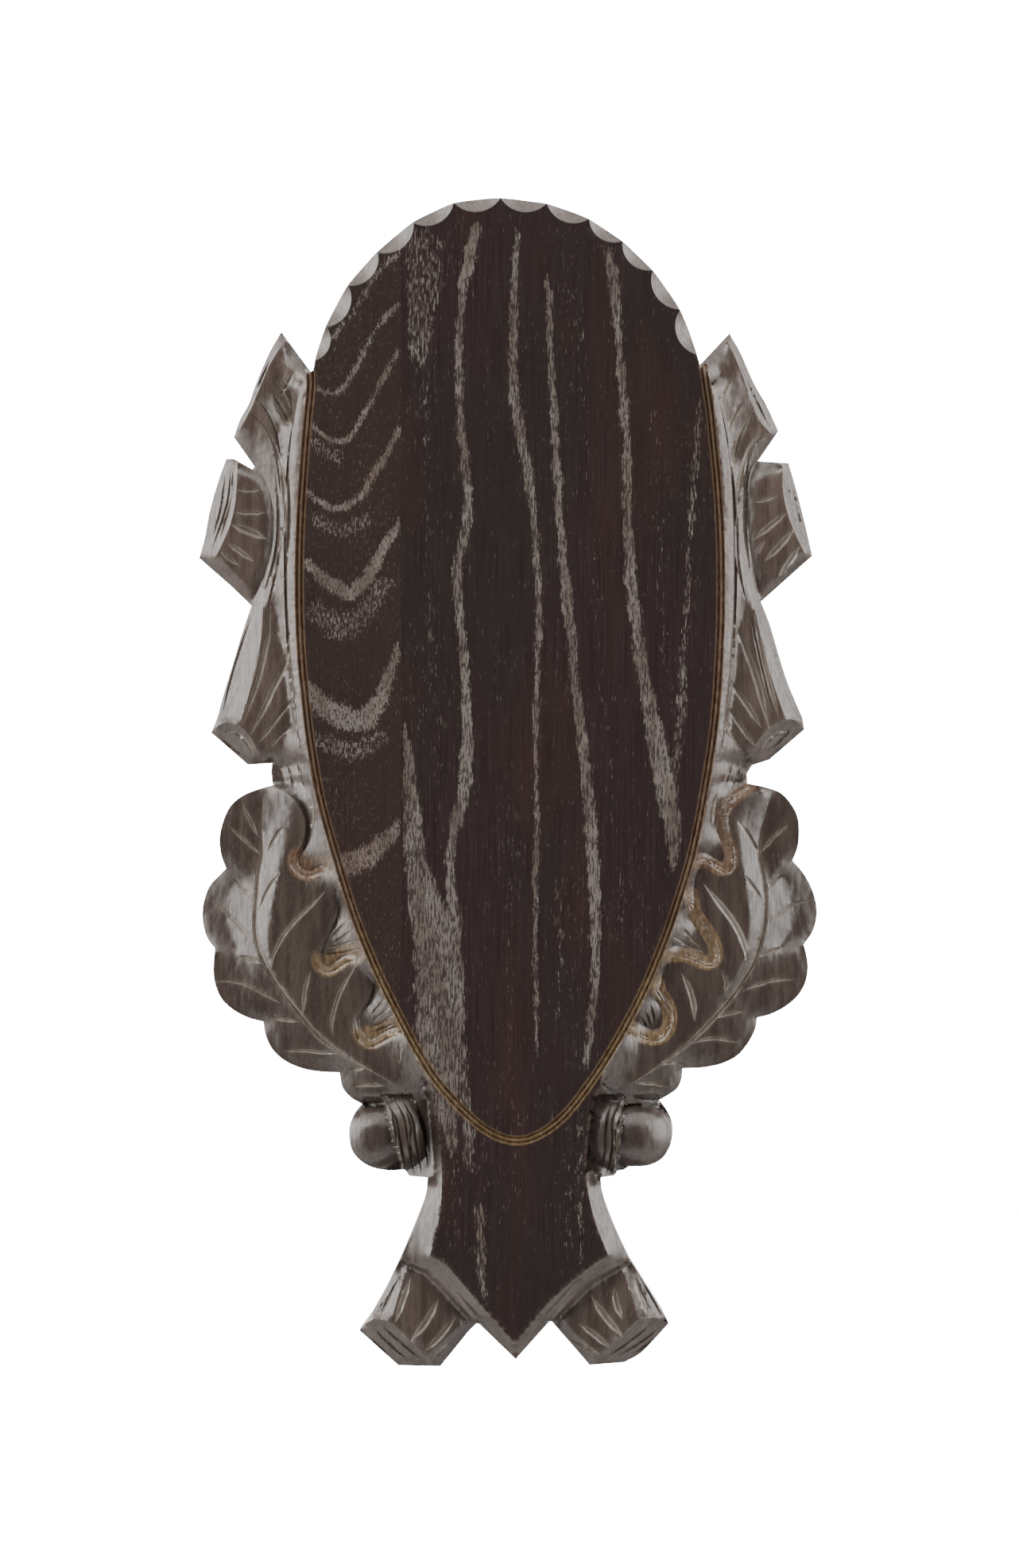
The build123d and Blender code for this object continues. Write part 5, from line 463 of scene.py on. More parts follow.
# Growth rings: (x, z, half width of the open-pored band); the first list is the left board's.
RINGS = [
    ("L", 0.9, [(-37.91, 94.86, 0.34), (-35.7, 97.58, 0.43), (-33.66, 99.79, 0.43), (-31.45, 103.36, 0.43), (-29.41,
     107.1, 0.51), (-27.2, 109.82, 0.51), (-22.78, 113.9, 0.6)]),
    ("L", 0.95, [(-41.14, 84.66, 0.34), (-39.44, 83.47, 0.43), (-36.21, 83.64, 0.51), (-34, 86.36, 0.51), (-32.13,
     89.42, 0.51), (-29.41, 95.03, 0.51), (-26.52, 99.28, 0.51), (-22.78, 103.02, 0.51)]),
    ("L", 1, [(-41.65, 76.16, 0.43), (-39.44, 74.29, 0.51), (-36.21, 72.93, 0.6), (-34, 73.78, 0.6), (-32.47, 75.82,
     0.6), (-30.09, 80.07, 0.6), (-28.22, 83.64, 0.6), (-25.5, 88.74, 0.6), (-22.78, 93.67, 0.51)]),
    ("L", 1, [(-43.18, 62.56, 0.51), (-40.8, 60.52, 0.6), (-36.72, 58.65, 0.77), (-34, 59.5, 0.68), (-31.62, 61.2,
     0.68), (-29.58, 64.6, 0.68), (-27.37, 68.17, 0.68), (-25.16, 72.08, 0.68), (-22.78, 76.16, 0.51)]),
    ("L", 1, [(-42.84, 47.26, 0.85), (-39.95, 44.03, 1.36), (-36.72, 42.16, 1.53), (-33.66, 40.46, 1.53), (-31.28,
     42.67, 1.36), (-28.22, 47.43, 1.19), (-25.84, 51.68, 1.02), (-23.8, 54.74, 0.85), (-22.78, 57.12, 0.68)]),
    ("L", 1, [(-42.5, 20.4, 1.36), (-39.95, 16.66, 2.21), (-36.72, 14.62, 2.38), (-33.15, 13.6, 2.38), (-30.6, 13.77,
     2.21), (-28.22, 16.66, 1.7), (-26.69, 20.06, 1.36), (-24.82, 24.82, 1.02), (-23.12, 30.26, 0.51)]),
    ("L", 0.9, [(-38.76, -18.02, 2.38), (-36.55, -17.68, 2.38), (-32.3, -16.83, 2.55), (-28.9, -14.62, 2.21), (-26.35,
     -12.24, 1.87), (-23.8, -9.69, 1.53), (-22.78, -8.84, 1.36)]),
    ("L", 0.7, [(-42.16, -20.23, 1.7), (-39.95, -19.04, 2.04), (-38.25, -18.36, 2.04)]),
    ("L", 0.55, [(-40.8, 36.72, 2.38), (-35.7, 33.32, 2.72), (-31.45, 35.87, 2.38), (-26.35, 42.67, 1.7)]),
    ("L", 0.5, [(-40.8, 56.27, 1.7), (-35.7, 54.06, 1.7), (-30.6, 56.27, 1.36)]),
    ("L", 0.5, [(-41.65, 72.42, 1.19), (-36.55, 69.87, 1.19)]),
    ("L", 0.5, [(-40.8, 9.52, 1.7), (-34, 6.97, 2.04), (-27.2, 9.52, 1.7)]),
    ("R", 0.95, [(-22.44, 13.77, 0.26), (-21.76, 8.67, 0.68), (-21.25, 3.57, 1.19), (-20.91, -2.38, 1.53), (-20.4,
     -9.18, 2.04), (-19.89, -15.98, 2.55), (-18.7, -22.78, 3.23), (-17, -27.88, 4.08), (-15.47, -32.98, 5.1), (-14.79,
     -39.78, 5.27), (-14.62, -46.58, 5.27), (-14.45, -53.38, 5.27), (-14.28, -59.33, 4.42), (-13.6, -66.13, 2.89),
     (-12.58, -72.93, 1.7), (-11.56, -80.58, 0.85)]),
    ("R", 1, [(-6.29, 121.38, 1.02), (-7.48, 116.62, 1.19), (-8.5, 111.52, 1.36), (-9.52, 106.42, 1.02), (-10.2,
     99.62, 0.85), (-10.71, 92.82, 0.85), (-10.54, 82.62, 0.85), (-10.03, 75.82, 0.94), (-9.18, 69.02, 1.02), (-8.67,
     62.22, 1.19), (-8.84, 55.42, 1.02), (-10.03, 50.32, 1.19), (-10.88, 45.22, 1.02), (-10.54, 38.42, 1.02), (-9.69,
     28.22, 1.02), (-9.01, 18.02, 1.02), (-8.67, 9.52, 1.19), (-9.18, 2.72, 1.36), (-10.2, -4.08, 1.53), (-11.56,
     -9.18, 1.36), (-12.41, -14.28, 1.02), (-12.24, -21.08, 1.02), (-11.73, -27.88, 1.36), (-11.22, -36.38, 1.7)]),
    ("R", 0.7, [(-11.22, -36.38, 1.36), (-10.2, -53.38, 1.02), (-9.18, -66.98, 1.19), (-8.67, -75.48, 1.36), (-8.84,
     -83.98, 1.19)]),
    ("R", 1, [(2.21, 120.02, 0.51), (1.7, 114.92, 0.68), (1.19, 108.12, 0.77), (1.02, 99.62, 0.85), (1.02, 92.82,
     1.02), (1.19, 82.62, 1.19), (2.21, 75.82, 1.19), (3.57, 69.02, 1.36), (4.76, 62.22, 1.02), (5.44, 55.42, 0.85),
     (6.12, 45.22, 0.77), (6.46, 35.02, 0.77), (5.95, 18.02, 0.68), (5.78, 7.82, 0.6), (5.95, -4.08, 0.51), (5.78,
     -15.98, 0.68), (5.61, -27.88, 0.68), (5.78, -39.78, 0.6), (5.95, -50.83, 0.51), (6.12, -60.18, 0.43)]),
    ("R", 1, [(7.99, 109.82, 0.43), (8.5, 103.02, 0.68), (9.01, 94.52, 0.68), (9.35, 86.02, 0.68), (9.86, 79.22,
     0.77), (10.2, 69.02, 0.85), (11.22, 52.02, 0.85), (12.07, 43.52, 1.02), (12.92, 35.02, 1.02), (13.77, 26.52,
     1.02), (14.62, 18.02, 1.02), (15.64, 9.52, 1.19), (16.32, 2.72, 1.19), (17.34, -5.78, 1.36), (18.02, -15.98,
     1.19), (18.36, -26.18, 1.19), (18.53, -36.38, 1.02), (18.02, -46.58, 0.85), (17.17, -55.08, 0.77), (16.32,
     -61.88, 0.68)]),
    ("R", 1, [(20.74, 115.6, 1.36), (21.93, 110.67, 1.19), (22.61, 105.57, 1.19), (23.12, 99.62, 1.02), (23.63, 92.82,
     1.02), (24.31, 84.32, 1.02), (24.99, 75.82, 1.02), (25.33, 65.62, 1.02), (25.5, 57.12, 1.02), (25.84, 46.92,
     1.19), (26.69, 38.42, 1.19), (28.05, 28.22, 1.36), (29.41, 19.72, 1.53), (30.6, 12.92, 1.7), (31.96, 6.12, 2.04),
     (33.32, -0.68, 2.21), (34.51, -5.78, 2.04), (35.19, -10.88, 1.7), (35.02, -15.98, 1.19), (34.34, -20.23, 0.68)]),
    ("R", 0.55, [(40.8, 82.62, 0.51), (40.46, 75.82, 0.68), (39.95, 67.32, 0.68), (39.1, 57.12, 0.68), (38.42, 48.62,
     0.6), (38.08, 38.42, 0.68), (37.57, 29.92, 0.68), (37.06, 19.72, 0.85), (36.38, 11.22, 1.02), (35.7, 4.42, 1.02),
     (34.85, -2.38, 1.36)]),
    ("R", 0.6, [(-19.04, 119.34, 2.72), (-18.7, 113.22, 3.4), (-18.7, 106.42, 3.4), (-18.7, 99.62, 3.06), (-19.04,
     92.82, 2.38), (-19.38, 87.72, 1.36)]),
    ("R", 0.5, [(-15.81, 118.32, 1.36), (-16.15, 109.82, 1.53), (-16.49, 99.62, 1.36)]),
    ("R", 0.22, [(-17.85, 87.72, 0.85), (-17.51, 72.42, 0.85), (-17, 48.62, 0.85), (-16.15, 21.42, 1.02)]),
    ("R", 0.2, [(-4.76, 96.22, 0.51), (-4.42, 79.22, 0.51), (-3.06, 58.82, 0.51), (-2.55, 38.42, 0.51), (-2.04, 14.62,
     0.51)]),
    ("R", 0.2, [(15.3, 99.62, 1.02), (16.15, 79.22, 1.02), (17.34, 58.82, 0.85), (18.7, 38.42, 0.85), (20.4, 14.62,
     1.02), (22.95, -12.58, 1.02)]),
    ("R", 0.2, [(30.6, 86.02, 1.02), (31.96, 62.22, 1.02), (32.81, 38.42, 1.02), (33.66, 23.12, 0.85)]),
    ("R", 0.28, [(10.2, -19.38, 0.85), (10.88, -36.38, 0.85), (10.54, -53.38, 0.85)]),
    ("R", 0.25, [(23.8, -15.98, 1.02), (24.82, -32.98, 0.85)]),
    ("R", 0.2, [(0, -19.38, 0.68), (0.34, -44.88, 0.68), (0, -66.98, 0.68)]),
    ("R", 0.75, [(-6.63, -88.23, 0.68), (-6.12, -94.18, 1.02), (-5.78, -100.98, 1.02), (-5.27, -107.78, 0.85), (-4.76,
     -112.88, 0.51)]),
    ("R", 0.6, [(15.47, -67.83, 0.68), (15.13, -75.48, 0.68), (15.13, -83.98, 0.68), (15.3, -94.18, 0.68), (15.64,
     -104.38, 0.51)]),
    ("R", 0.3, [(12.24, -73.78, 0.85), (12.58, -87.38, 1.02), (12.58, -100.98, 0.85)]),
    ("R", 0.25, [(2.04, -68.68, 0.85), (2.38, -77.18, 0.68)]),
    ("R", 0.3, [(-11.9, -73.78, 1.02), (-11.22, -83.98, 1.02), (-10.54, -92.48, 0.85)]),
    ("R", 0.4, [(33.15, -32.98, 1.02), (33.66, -39.78, 1.19), (34, -46.58, 1.02)]),
    ("R", 0.4, [(56.95, -12.58, 0.51), (57.8, -17.68, 0.68), (58.14, -22.78, 0.68)]),
    ("L", 0.2, [(-49.3, -2.38, 0.68), (-48.96, -7.48, 0.68)]),
    ("R", 1, [(-14.45, 14.96, 0.51), (-14.45, 13.43, 0.85), (-14.45, 11.9, 0.51)]),
]


# ------------------------------------------------------------------ lines to points
def resample(points, step, curve=True, closed=False):
    """Points along a line at an even step; a curve goes smoothly through its points."""
    p = np.array(points, float)
    if curve and len(p) > 2:
        a = np.vstack([2 * p[0] - p[1], p, 2 * p[-1] - p[-2]])
        dense = []
        for i in range(1, len(a) - 2):
            p0, p1, p2, p3 = a[i - 1], a[i], a[i + 1], a[i + 2]
            d01 = max(np.linalg.norm((p1 - p0)[:2]), 1e-6) ** 0.5
            d12 = max(np.linalg.norm((p2 - p1)[:2]), 1e-6) ** 0.5
            d23 = max(np.linalg.norm((p3 - p2)[:2]), 1e-6) ** 0.5
            m1 = (p1 - p0) / d01 - (p2 - p0) / (d01 + d12) + (p2 - p1) / d12
            m2 = (p2 - p1) / d12 - (p3 - p1) / (d12 + d23) + (p3 - p2) / d23
            m1, m2 = m1 * d12, m2 * d12
            t = np.linspace(0, 1, 12, endpoint=False)[:, None]
            dense.append(
                (2 * t**3 - 3 * t**2 + 1) * p1 + (t**3 - 2 * t**2 + t) * m1 + (-2 * t**3 + 3 * t**2) * p2 + (t**3 - t**2) * m2
            )
        dense.append(p[-1:])
        q = np.vstack(dense)
        corners = [0, len(q) - 1]
    else:
        q = p
        corners = list(range(len(q)))
    out = []
    for a, b in zip(corners, corners[1:]):
        part = q[a : b + 1]
        run = np.r_[0, np.cumsum(np.linalg.norm(np.diff(part[:, :2], axis=0), axis=1))]
        n = max(1, int(round(run[-1] / step)))
        s = np.linspace(0, run[-1], n + 1)
        out.append(np.stack([np.interp(s, run, part[:, k]) for k in range(part.shape[1])], 1)[:-1])
    out.append(q[-1:])
    return np.vstack(out)


def beside(points, distance):
    """The line moved to its left."""
    d = np.gradient(points[:, :2], axis=0)
    d /= np.maximum(np.linalg.norm(d, axis=1), 1e-9)[:, None]
    moved = points.copy()
    moved[:, :2] += np.stack([-d[:, 1], d[:, 0]], 1) * np.reshape(distance, (-1, 1))
    return moved


def inside(polygon, p):
    """Which of the points lie in the polygon."""
    hit = np.zeros(len(p), bool)
    x, y = p[:, 0], p[:, 1]
    for (xa, ya), (xb, yb) in zip(polygon[:, :2], np.roll(polygon[:, :2], -1, 0)):
        if ya == yb:
            continue
        cross = (ya > y) != (yb > y)
        if cross.any():
            hit ^= cross & (x < (xb - xa) * (y - ya) / (yb - ya) + xa)
    return hit


def reach(p, line, radius):
    """For each point: distance to the line and the place along it from 0 to 1; far points get inf."""
    best = np.full(len(p), np.inf)
    where = np.zeros(len(p))
    run = np.r_[0, np.cumsum(np.linalg.norm(np.diff(line[:, :2], axis=0), axis=1))]
    low, high = line[:, :2].min(0) - radius, line[:, :2].max(0) + radius
    near = np.where(((p[:, :2] >= low) & (p[:, :2] <= high)).all(1))[0]
    if not len(near):
        return best, where
    q = p[near, :2]
    b, w = np.full(len(near), np.inf), np.zeros(len(near))
    order = np.argsort(q[:, 1], kind="stable")
    qz = q[order, 1]
    for i in range(len(line) - 1):
        a, c = line[i, :2], line[i + 1, :2]
        k0 = np.searchsorted(qz, min(a[1], c[1]) - radius)
        k1 = np.searchsorted(qz, max(a[1], c[1]) + radius)
        if k1 <= k0:
            continue
        idx = order[k0:k1]
        v = c - a
        vv = v @ v
        if vv == 0:
            continue
        t = np.clip(((q[idx] - a) @ v) / vv, 0, 1)
        d = np.hypot(*(q[idx] - a - t[:, None] * v).T)
        better = d < b[idx]
        idx, t, d = idx[better], t[better], d[better]
        b[idx] = d
        w[idx] = run[i] + t * math.sqrt(vv)
    best[near] = np.where(b <= radius, b, np.inf)
    where[near] = w / run[-1]
    return best, where


def noise2(x, z, seed):
    """Smooth value noise, the same every run."""
    xi, zi = np.floor(x).astype(np.int64), np.floor(z).astype(np.int64)
    fx, fz = x - xi, z - zi
    fx, fz = fx * fx * (3 - 2 * fx), fz * fz * (3 - 2 * fz)

    def h(a, b):
        n = (a * 374761393 + b * 668265263 + seed * 982451653) & 0xFFFFFFFF
        n = ((n ^ (n >> 13)) * 1274126177) & 0xFFFFFFFF
        return ((n ^ (n >> 16)) & 0xFFFF) / 65535.0

    return (
        h(xi, zi) * (1 - fx) * (1 - fz) + h(xi + 1, zi) * fx * (1 - fz) + h(xi, zi + 1) * (1 - fx) * fz + h(xi + 1, zi + 1) * fx * fz
    ) * 2 - 1


STEP = 0.45 if GRID < 0.6 else 0.8
loop = []
for kind, pts in OUTLINE:
    loop.append(resample(pts, STEP, kind == "C")[:-1])
loop = np.vstack(loop)

points, fixed, crisp, edges = [], [], [], []


def add_line(line, heights=True, hard=False, closed=False):
    base = len(points)
    for row in line:
        points.append((row[0], row[1]))
        fixed.append(row[2] if heights else np.nan)
        crisp.append(hard)
    n = len(line)
    edges.extend((base + i, base + i + 1) for i in range(n - 1))
    if closed:
        edges.append((base + n - 1, base))


add_line(loop, True, True, True)
relief = {}
for name, kind, hard, pts in RELIEF:
    line = resample(pts, STEP, kind == "C")
    relief[name] = line
    add_line(line, True, bool(hard))

# the double V line round the field
field_edge = resample(FIELD_EDGE, STEP, True)
LINES = [(0.45, 0.47, 0.85), (1.40, 0.47, 0.80)]  # centre beside the field's edge, half width, depth
for centre, half, depth in LINES:
    for d in (centre - half, centre, centre + half):
        add_line(beside(field_edge, d), False)

# V cuts, thinner towards both ends
cuts = []
for width, depth, ta, tb, pts in CUTS:
    line = resample(pts, min(STEP, 0.4), True)
    run = np.r_[0, np.cumsum(np.linalg.norm(np.diff(line, axis=0), axis=1))]
    s = run / run[-1]
    shape = np.minimum(1, (0.12 + s / 0.30) if ta else 1) * np.minimum(1, (0.12 + (1 - s) / 0.30) if tb else 1)
    cuts.append((line, width / 2, depth, shape))
    add_line(line, False)
    if GRID < 0.6:
        add_line(beside(line, width / 2 * shape), False)
        add_line(beside(line, -width / 2 * shape), False)

# gouge cuts along the crown
crown_line = resample(OUTLINE[0][1], 0.4, True)
scallops = []
for (xa, za), (xb, zb) in zip(CUSPS, CUSPS[1:]):
    a, b = np.array([xa, za]), np.array([xb, zb])
    half = np.linalg.norm(b - a) / 2
    along = (b - a) / (2 * half)
    out = np.array([-along[1], along[0]])
    sag = 0.50 * half
    radius = (half**2 + sag**2) / (2 * sag)
    centre = (a + b) / 2 + out * (radius - sag)
    scallops.append((centre, radius, a, b, out))
    t0 = math.asin(min(1.0, half / radius))
    arc = np.array(
        [centre - out * radius * math.cos(t) + along * radius * math.sin(t) for t in np.linspace(-t0, t0, max(6, int(2 * t0 * radius / STEP)))]
    )
    add_line(np.c_[arc, np.zeros(len(arc))], False)

# glue line
top_z, low_z = loop[:, 1].max() + 1, loop[:, 1].min() - 1
glue = np.stack([np.full(int((top_z - low_z) / STEP), GLUE_X), np.linspace(low_z, top_z, int((top_z - low_z) / STEP))], 1)
add_line(np.c_[glue, np.zeros(len(glue))], False)

# even points in between, closer together on the carving than on the flat field
P = np.array(points)
field = np.vstack([crown_line[:, :2], relief["field_r"][:, :2], relief["tail_r"][:, :2], relief["tail_v"][::-1, :2], relief["tail_l"][:, :2], relief["field_l"][:, :2]])
FINE = GRID * 0.8
grids = []
for step, flat in ((GRID * 1.15, True), (FINE, False)):
    gx = np.arange(loop[:, 0].min(), loop[:, 0].max(), step)
    gz = np.arange(loop[:, 1].min(), loop[:, 1].max(), step * 0.866)
    X, Z = np.meshgrid(gx, gz)
    X = X + (np.arange(len(gz)) % 2)[:, None] * step / 2
    c = np.c_[X.ravel(), Z.ravel()]
    grids.append(c[inside(field, c) == flat])
cand = np.vstack(grids)
cell = FINE * 0.30
lowc = P.min(0) - 2
size = ((P.max(0) + 2 - lowc) / cell).astype(int) + 1
taken = np.zeros(size, bool)
ij = ((P - lowc) / cell).astype(int)
for di in (-1, 0, 1):
    for dj in (-1, 0, 1):
        taken[ij[:, 0] + di, ij[:, 1] + dj] = True
for di, dj in ((-2, 0), (2, 0), (0, -2), (0, 2)):
    taken[ij[:, 0] + di, ij[:, 1] + dj] = True
ci = ((cand - lowc) / cell).astype(int)
cand = cand[~taken[ci[:, 0], ci[:, 1]]]
cand = cand[inside(loop, cand)]
points_all = [Vector(p) for p in P] + [Vector(p) for p in cand]

v2, e2, f2, ov, oe, of_ = delaunay_2d_cdt(points_all, edges, [], 0, 1e-4)
V = np.array([(v[0], v[1]) for v in v2])
F = np.array([f for f in f2 if len(f) == 3])
mid = V[F].mean(1)
keep = inside(loop, mid)
area = 0.5 * np.cross(V[F[:, 1]] - V[F[:, 0]], V[F[:, 2]] - V[F[:, 0]])
keep &= np.abs(area) > 1e-7
F = F[keep]
F[area[keep] < 0] = F[area[keep] < 0][:, ::-1]

height = np.full(len(V), np.nan)
hard = np.zeros(len(V), bool)
fixed_in, crisp_in = np.array(fixed), np.array(crisp)
for i, src in enumerate(ov):
    src = [s for s in src if s < len(fixed_in)]
    hs = [fixed_in[s] for s in src if fixed_in[s] == fixed_in[s]]
    if hs:
        height[i] = max(hs)
        hard[i] = any(crisp_in[s] for s in src)

used = np.zeros(len(V), bool)
used[F.ravel()] = True
renum = np.cumsum(used) - 1
V, height, hard, F = V[used], height[used], hard[used], renum[F]

# ------------------------------------------------------------------ heights
on_field = inside(field, V)
height[on_field] = THICKNESS
hard |= on_field

E = np.vstack([F[:, [0, 1]], F[:, [1, 2]], F[:, [2, 0]]])
E = np.unique(np.sort(E, 1), axis=0)
length = np.linalg.norm(V[E[:, 0]] - V[E[:, 1]], axis=1)
W = 1 / np.maximum(length, 0.05)
N = len(V)
diag = np.bincount(E[:, 0], W, N) + np.bincount(E[:, 1], W, N)


def laplace(h):
    d = W * (h[E[:, 0]] - h[E[:, 1]])
    return np.bincount(E[:, 0], d, N) - np.bincount(E[:, 1], d, N)


free = np.isnan(height)
h = np.where(free, 15.0, height)
r = -laplace(h) * free
z = r / diag
p = z.copy()
rz = r @ z
for _ in range(1300):
    Ap = laplace(p) * free
    alpha = rz / (p @ Ap)
    h = h + alpha * p
    r = r - alpha * Ap
    z = r / diag
    new = r @ z
    if new < 1e-7:
        break
    p = z + new / rz * p
    rz = new
# round the soft lines over
soft = ~hard
for _ in range(7):
    h = h - 0.55 * soft * laplace(h) / diag


def in_shape(line_points):
    return inside(np.array(line_points), V)


# the field itself is planed flat, apart from what the brush has worn out of the soft rings (see RINGS)
# acorns: a domed nut and a cup behind it
for centre, toward, length_a, half_b, cup_side in (
    ((-28.7, -75.7), (-0.966, -0.259), 7.6, 7.5, -1),
    ((27.6, -75.4), (0.995, -0.10), 8.2, 7.5, 1),
):
    ax = np.array(toward)
    side = np.array([-ax[1], ax[0]])
    q = V - np.array(centre)
    u, w = q @ ax, q @ side
    band = np.abs(w) < 9.5
    rho = np.sqrt((np.where(u > 0, u / length_a, u / 11.0)) ** 2 + (w / half_b) ** 2)
    dome = 9.6 + 7.4 * np.sqrt(np.clip(1 - rho**2, 0.06, 1))
    nut_zone = (u > -3.6) & band & ~on_field & (np.abs(V[:, 0] - centre[0]) < 12) & (V[:, 1] < -68.2)
    h = np.where(nut_zone, np.where(rho < 0.88, dome, np.maximum(h, dome)), h)
    cup = 10.4 + 7.6 * np.sqrt(np.clip(1 - (w / 8.7) ** 2, 0.05, 1)) - 0.10 * np.clip(-u - 6.5, 0, 9) ** 2
    cup_zone = (u <= -3.6) & (u > -10.4) & (np.abs(w) < 8.6) & ~on_field & (V[:, 1] < -66.6)
    blend = np.clip((-3.6 - u) / 0.5, 0, 1)
    h = np.where(cup_zone, np.maximum(cup * blend + dome * (1 - blend), np.minimum(h, 15.0)), h)
    lip = np.exp(-((u + 4.3) / 0.55) ** 2) * cup_zone * 0.35
    h = h + lip

# gouged crown
scallop = np.zeros(N)
for centre, radius, a, b, out in scallops:
    q = V - centre
    d = np.hypot(q[:, 0], q[:, 1])
    mid_ab = (a + b) / 2
    along = (b - a) / np.linalg.norm(b - a)
    s = (V - mid_ab) @ along
    zone = (d < radius) & (np.abs(s) <= np.linalg.norm(b - a) / 2 + 0.02) & ((V - mid_ab) @ out < 4.0) & ((V - mid_ab) @ out > -4)
    fall = (radius - d) * 1.05
    scallop = np.where(zone, np.maximum(scallop, fall), scallop)
h = h - scallop
carved = (~on_field).astype(float)
carved = np.maximum(carved, (scallop > 0.05) * 1.0)

# double line
gild = np.zeros(N)
rim_noise = noise2(V[:, 0] * 0.55, V[:, 1] * 0.16, 11)
for k, (centre, half, depth) in enumerate(LINES):
    d, s = reach(V, beside(field_edge, centre), 2.2)
    v = np.clip(1 - d / half, 0, 1)
    h = h - depth * v * (0.92 + 0.08 * rim_noise)
    gild = np.maximum(gild, np.clip(1.25 - d / (half * 1.35), 0, 1) * (0.95 if k else 0.85))

# V cuts
cut_highlight_mask = np.zeros(N)
score_line_shade = np.zeros(N)
for line, half, depth, shape in cuts:
    d, s = reach(V, line, half * 1.6)
    wide = half * np.interp(s, np.linspace(0, 1, len(shape)), shape)
    v = np.clip(1 - d / np.maximum(wide, 1e-3), 0, 1)
    h = h - depth * np.interp(s, np.linspace(0, 1, len(shape)), shape) * v
    # wide cuts get a pale painted highlight, thin score lines a dark painted shade
    if half > 0.40:
        cut_highlight_mask = np.maximum(cut_highlight_mask, np.clip(1.45 * (1 - d / np.maximum(wide * 1.2, 1e-3)), 0, 1))
    else:
        score_line_shade = np.maximum(score_line_shade, np.clip(1.3 * (1 - d / np.maximum(wide * 1.25, 1e-3)), 0, 1))

leaf_side = reach(V, relief["rl_in"], 5.0)[0]
# gold-brown bands along the leaves' inner edges, with two fine lines scored along each
for name, half, start in (
    ("rl_b1", 2.2, -1.0), ("rl_b2", 2.3, -1.0), ("rl_b3", 2.3, -1.0),
    ("ll_in1f", 1.9, 0.60), ("ll_in2f", 1.9, 0.55), ("ll_in3f", 1.9, 0.50),
):
    d, s = reach(V, relief[name], 3.2)
    if start < 0:
        # between the two edges of the band, and a little way down the wall to the ground
        amount = np.clip((half - d) / 0.5, 0, 1)
        amount = np.where(leaf_side > 1.9, np.minimum(amount, np.clip((1.25 - d) / 0.45, 0, 1)), amount)
    else:
        amount = np.clip(1.9 - 1.2 * d / half, 0, 1)
    amount = amount * (0.18 + 0.82 * np.clip((s - start) / 0.10, 0, 1))
    gild = np.maximum(gild, amount * (0.85 + 0.15 * rim_noise) * ~on_field)
for name, side, start in (("rl_in", -0.55, 0.02), ("rl_in", -1.15, 0.02), ("ll_in1", 0.45, 0.55), ("ll_in2", 0.45, 0.50), ("ll_in3", 0.45, 0.45), ("ll_in1", -0.55, 0.66), ("ll_in2", -0.55, 0.62), ("ll_in3", -0.55, 0.58)):
    line = beside(relief[name], side)
    d, s = reach(V, line, 0.5)
    v = np.clip(1 - d / 0.34, 0, 1) * (s > start) * (s < 0.97) * ~on_field
    h = h - 0.30 * v
    # the fine lines get the pale painted highlight of the cuts as well
    cut_highlight_mask = np.maximum(cut_highlight_mask, 0.55 * v)

carving = h.copy()
# growth rings: the brush has opened the soft, coarse-pored wood of each ring
pore = np.zeros(N)
wob = 0.35 * noise2(V[:, 0] * 0.9, V[:, 1] * 0.25, 3) + 0.25 * noise2(V[:, 0] * 2.2, V[:, 1] * 0.6, 4)
for board, strength, pts in RINGS:
    line = resample(pts, 1.2, True)
    d, s = reach(V, line, 9.0)
    run = np.r_[0, np.cumsum(np.linalg.norm(np.diff(line[:, :2], axis=0), axis=1))]
    half = np.interp(s, run / run[-1], line[:, 2])
    soft_edge = (0.50 + 0.42 * half) if board == "L" else (0.30 + 0.22 * half)
    v = np.clip((half - d + wob * np.minimum(1, 0.5 + half * 0.4)) / soft_edge + 0.5, 0, 1)
    end = np.clip(np.minimum(s, 1 - s) * run[-1] / 3.0, 0, 1) if board == "R" else 1.0
    v = v * end * ((V[:, 0] < GLUE_X) if board == "L" else (V[:, 0] >= GLUE_X)) * np.isfinite(d)
    pore = np.maximum(pore, v * strength)
h = h - 0.08 * pore * (1 - 0.5 * carved)

# slight unevenness of hand work on everything but the planed field
h = h + carved * (0.05 * noise2(V[:, 0] * 0.7, V[:, 1] * 0.45, 21) + 0.03 * noise2(V[:, 0] * 1.7, V[:, 1] * 0.8, 22))
h = np.clip(h, 8.0, THICKNESS)

# crests and hollows: worn, paler edges, and painted shade darkening the hollows and thin score lines
bend = laplace(carving) / diag / max(GRID, 0.3)
crest = np.clip(bend * 2.2, 0, 1) * np.where(on_field & (carved < 0.5), 0.0, 1.0)
hollow_shade = np.maximum(np.clip(-bend * 2.2, 0, 1), score_line_shade)
for _ in range(2):
    crest = crest - 0.4 * laplace(crest) / diag
    hollow_shade = hollow_shade - 0.4 * laplace(hollow_shade) / diag

# ------------------------------------------------------------------ boards
fx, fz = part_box("keyhole_hanger")
hz = (fx[2] + fz[2]) * 500.0
plate_w, plate_h, plate_t = (fz[0] - fx[0]) * 1000.0, (fz[2] - fx[2]) * 1000.0, (fz[1] - fx[1]) * 1000.0
SCREW_X = (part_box("hanger_screw_right")[0][0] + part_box("hanger_screw_right")[1][0]) * 500.0
POCKET = (13.0, 13.5, 3.0, 9.0)  # width, height, corner radius, depth


